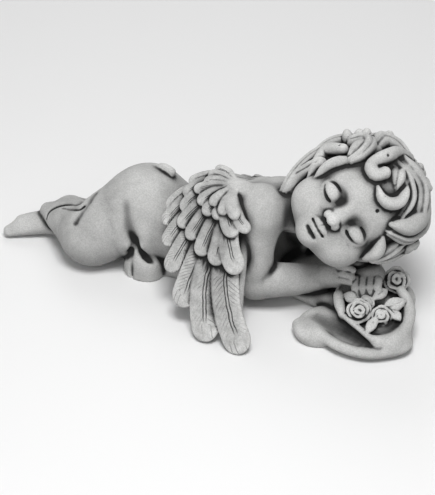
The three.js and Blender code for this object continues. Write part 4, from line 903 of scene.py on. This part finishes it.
def stone_material():
    # stone with dirt and wear, with painted shade in hollows and underneath, and a painted highlight on
    # high places
    material = bpy.data.materials.new("weathered_stone_painted_light")
    material.use_nodes = True
    tree = material.node_tree
    shader = tree.nodes["Principled BSDF"]
    shader.inputs["Roughness"].default_value = ROUGHNESS
    shader.inputs["Specular IOR Level"].default_value = GLOSS
    link = tree.links.new
    place = node(tree, "ShaderNodeTexCoord").outputs["Object"]

    def read(name):
        return node(tree, "ShaderNodeAttribute", attribute_name=name).outputs["Fac"]

    def calc(operation, a, b=None, c=None, clamp=False):
        made = node(tree, "ShaderNodeMath", operation=operation, use_clamp=clamp)
        for i, value in enumerate((a, b, c)):
            if value is None:
                continue
            if isinstance(value, (int, float)):
                made.inputs[i].default_value = value
            else:
                link(value, made.inputs[i])
        return made.outputs[0]

    def times(a, b, clamp=False):
        return calc("MULTIPLY", a, b, clamp=clamp)

    def noise(scale, detail, rough=0.5):
        made = node(tree, "ShaderNodeTexNoise")
        made.inputs["Scale"].default_value = scale
        made.inputs["Detail"].default_value = detail
        made.inputs["Roughness"].default_value = rough
        link(place, made.inputs["Vector"])
        return made.outputs["Fac"]

    def mapped(value, low, high, to_low=0.0, to_high=1.0):
        made = node(tree, "ShaderNodeMapRange", interpolation_type="SMOOTHSTEP")
        link(value, made.inputs["Value"])
        ends = {"From Min": low, "From Max": high, "To Min": to_low, "To Max": to_high}
        for name, number in ends.items():
            made.inputs[name].default_value = number
        return made.outputs["Result"]

    def line(value, middle, half):
        """1 on a thin line where a value passes a middle, 0 beyond its half width."""
        return mapped(calc("ABSOLUTE", calc("SUBTRACT", value, middle)), 0.4 * half, half, 1.0, 0.0)

    patches, blotches, speckle = noise(28, 4), noise(75, 3), noise(900, 2)
    # feathers: two cut lines with the quill between them, and barbs that slant towards the tip
    plume, row = read("plume"), read("plume_row")
    along, across = read("plume_along"), read("plume_across")
    barbed = times(plume, calc("LESS_THAN", row, BARBED_ROWS))
    quilled = times(plume, calc("LESS_THAN", row, QUILLED_ROWS))
    middle = calc("SUBTRACT", across, calc("MULTIPLY_ADD", blotches, QUILL_WANDER, QUILL_SHIFT))
    reach = times(mapped(along, 0.2, 0.3), mapped(along, 0.9, 1.0, 1.0, 0.0))
    quills = calc("MAXIMUM", line(middle, -QUILL, QUILL_HALF), line(middle, QUILL, QUILL_HALF))
    quills = times(times(quills, reach), quilled)
    side = calc("ABSOLUTE", middle)
    turn = times(calc("MULTIPLY_ADD", along, BARBS, times(side, BARB_SLANT)), 2 * math.pi)
    barbs = calc("POWER", calc("MULTIPLY_ADD", calc("COSINE", turn), 0.5, 0.5), BARB_SHARP)
    barbs = times(barbs, times(mapped(side, 0.14, 0.24), mapped(side, 0.75, 0.95, 1.0, 0.0)))
    barbs = times(times(barbs, barbed), mapped(blotches, 0.42, 0.6, 0.15, 0.9))
    cuts = calc("MAXIMUM", quills, times(barbs, BARB_DEPTH))
    # dirt and painted shade lie in the hollows, a little uneven, and the high places are rubbed pale
    # and carry a painted highlight
    fine, wide = mapped(read("hollow_fine"), 0.49, 0.61), mapped(read("hollow_wide"), 0.43, 0.68)
    dirt_and_shade = calc("ADD", times(fine, FINE_DIRT_AND_SHADE), times(wide, WIDE_DIRT_AND_SHADE), clamp=True)
    dirt_and_shade = times(dirt_and_shade, mapped(patches, 0.25, 0.75, 0.8, 1.2), clamp=True)
    # the feathers' cut lines are darker: dirt and painted shade in them
    dirt_and_shade = calc("ADD", dirt_and_shade, times(cuts, CUT_DIRT_AND_SHADE), clamp=True)
    ramp = node(tree, "ShaderNodeValToRGB")
    ramp.color_ramp.interpolation = "B_SPLINE"
    while len(ramp.color_ramp.elements) < len(STONE_GREYS):
        ramp.color_ramp.elements.new(0.5)
    for element, (position, grey) in zip(ramp.color_ramp.elements, STONE_GREYS):
        element.position = position
        element.color = (grey, grey, grey * BLUE_SHARE, 1)
    link(dirt_and_shade, ramp.inputs["Fac"])
    # the high places are paler: wear, and a painted highlight
    wear_and_highlight = calc("MULTIPLY_ADD", mapped(read("hollow_wide"), 0.2, 0.46, 1.0, 0.0), WEAR_AND_HIGHLIGHT, 0.9)
    shade = times(mapped(speckle, 0.3, 0.7, 0.88, 1.1), mapped(patches, 0.3, 0.7, 0.88, 1.08))
    shade = times(shade, mapped(blotches, 0.3, 0.7, 0.93, 1.05))
    shade = times(shade, wear_and_highlight)
    # the feathers are darker in uneven streaks, and the faces that look down are darkened with painted
    # shade
    streaks = mapped(noise(160, 3, 0.6), 0.35, 0.65, 0.8, 1.0)
    shade = times(shade, calc("MULTIPLY_ADD", plume, calc("SUBTRACT", streaks, 1.0), 1.0))
    # painted shade on the faces that look down
    normal_for_underside_shade = node(tree, "ShaderNodeSeparateXYZ")
    link(node(tree, "ShaderNodeNewGeometry").outputs["Normal"], normal_for_underside_shade.inputs["Vector"])
    shade = times(shade, mapped(normal_for_underside_shade.outputs["Z"], -0.75, 0.2, 0.6, 1.0))
    mix = node(tree, "ShaderNodeMix", data_type="RGBA", blend_type="MULTIPLY")
    mix.inputs["Factor"].default_value = 1
    link(ramp.outputs["Color"], mix.inputs["A"])
    grey = node(tree, "ShaderNodeCombineColor")
    for channel in ("Red", "Green", "Blue"):
        link(shade, grey.inputs[channel])
    link(grey.outputs["Color"], mix.inputs["B"])
    link(mix.outputs["Result"], shader.inputs["Base Color"])
    bump = node(tree, "ShaderNodeBump")
    bump.inputs["Strength"].default_value = BUMP
    bump.inputs["Distance"].default_value = BUMP_DEPTH
    height = calc("MULTIPLY_ADD", noise(420, 3, 0.6), GRAIN_BUMP, times(cuts, CUT_BUMP))
    link(height, bump.inputs["Height"])
    link(bump.outputs["Normal"], shader.inputs["Normal"])
    return material


# ---- the stage, in metres

FLOOR_GREY, FLOOR_ROUGHNESS, FLOOR_HALF = 0.86, 0.9, 6
AIM = 0.06                              # the height that the lamps and the camera look at
LAMPS = [("key", (0.3, -0.5, 1.42), 0.55, 16.5), ("fill", (0.2, -1.3, 0.6), 1.0, 3.5),
         ("back", (-0.6, 1.0, 1.1), 1.0, 5)]    # name, place, size, power
WORLD_LIGHT = 0.25
CAMERA_TURN, CAMERA_RISE, CAMERA_AWAY = math.radians(25), math.radians(35), 1.6
CAMERA_AIM = (0.0222, -0.0502, AIM)
SENSOR, LENS = 36, 139.6


def floor():
    material = bpy.data.materials.new("pale_floor")
    material.use_nodes = True
    shader = material.node_tree.nodes["Principled BSDF"]
    shader.inputs["Base Color"].default_value = (FLOOR_GREY, FLOOR_GREY, FLOOR_GREY, 1)
    shader.inputs["Roughness"].default_value = FLOOR_ROUGHNESS
    mesh = bpy.data.meshes.new("floor")
    corners = [(x * FLOOR_HALF, y * FLOOR_HALF, 0) for x, y in ((-1, -1), (1, -1), (1, 1), (-1, 1))]
    mesh.from_pydata(corners, [], [(0, 1, 2, 3)])
    mesh.materials.append(material)
    piece = bpy.data.objects.new("floor", mesh)
    bpy.context.scene.collection.objects.link(piece)


def lamp(name, at, size, power):
    light = bpy.data.lights.new(name, "AREA")
    light.size, light.energy = size, power
    piece = bpy.data.objects.new(name, light)
    piece.location = at
    piece.rotation_mode = "QUATERNION"
    piece.rotation_quaternion = (Vector((0, 0, AIM)) - Vector(at)).to_track_quat("-Z", "Y")
    bpy.context.scene.collection.objects.link(piece)


def camera():
    turn, rise = CAMERA_TURN, CAMERA_RISE
    back = Vector((math.sin(turn) * math.cos(rise), -math.cos(turn) * math.cos(rise), math.sin(rise)))
    lens = bpy.data.cameras.new("camera")
    lens.sensor_width = SENSOR
    lens.lens = LENS
    piece = bpy.data.objects.new("camera", lens)
    piece.location = Vector(CAMERA_AIM) + back * CAMERA_AWAY
    piece.rotation_mode = "QUATERNION"
    piece.rotation_quaternion = (-back).to_track_quat("-Z", "Y")
    bpy.context.scene.collection.objects.link(piece)
    bpy.context.scene.camera = piece


camera()
floor()
for given in LAMPS:
    lamp(*given)
world = bpy.data.worlds.new("world")
world.use_nodes = True
world.node_tree.nodes["Background"].inputs["Color"].default_value = (1, 1, 1, 1)
world.node_tree.nodes["Background"].inputs["Strength"].default_value = WORLD_LIGHT
bpy.context.scene.world = world
bpy.context.scene.view_settings.view_transform = "Standard"

cherub = build_figure()
cherub.data.materials.append(stone_material())
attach(cherub, "root")
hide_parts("cherub")
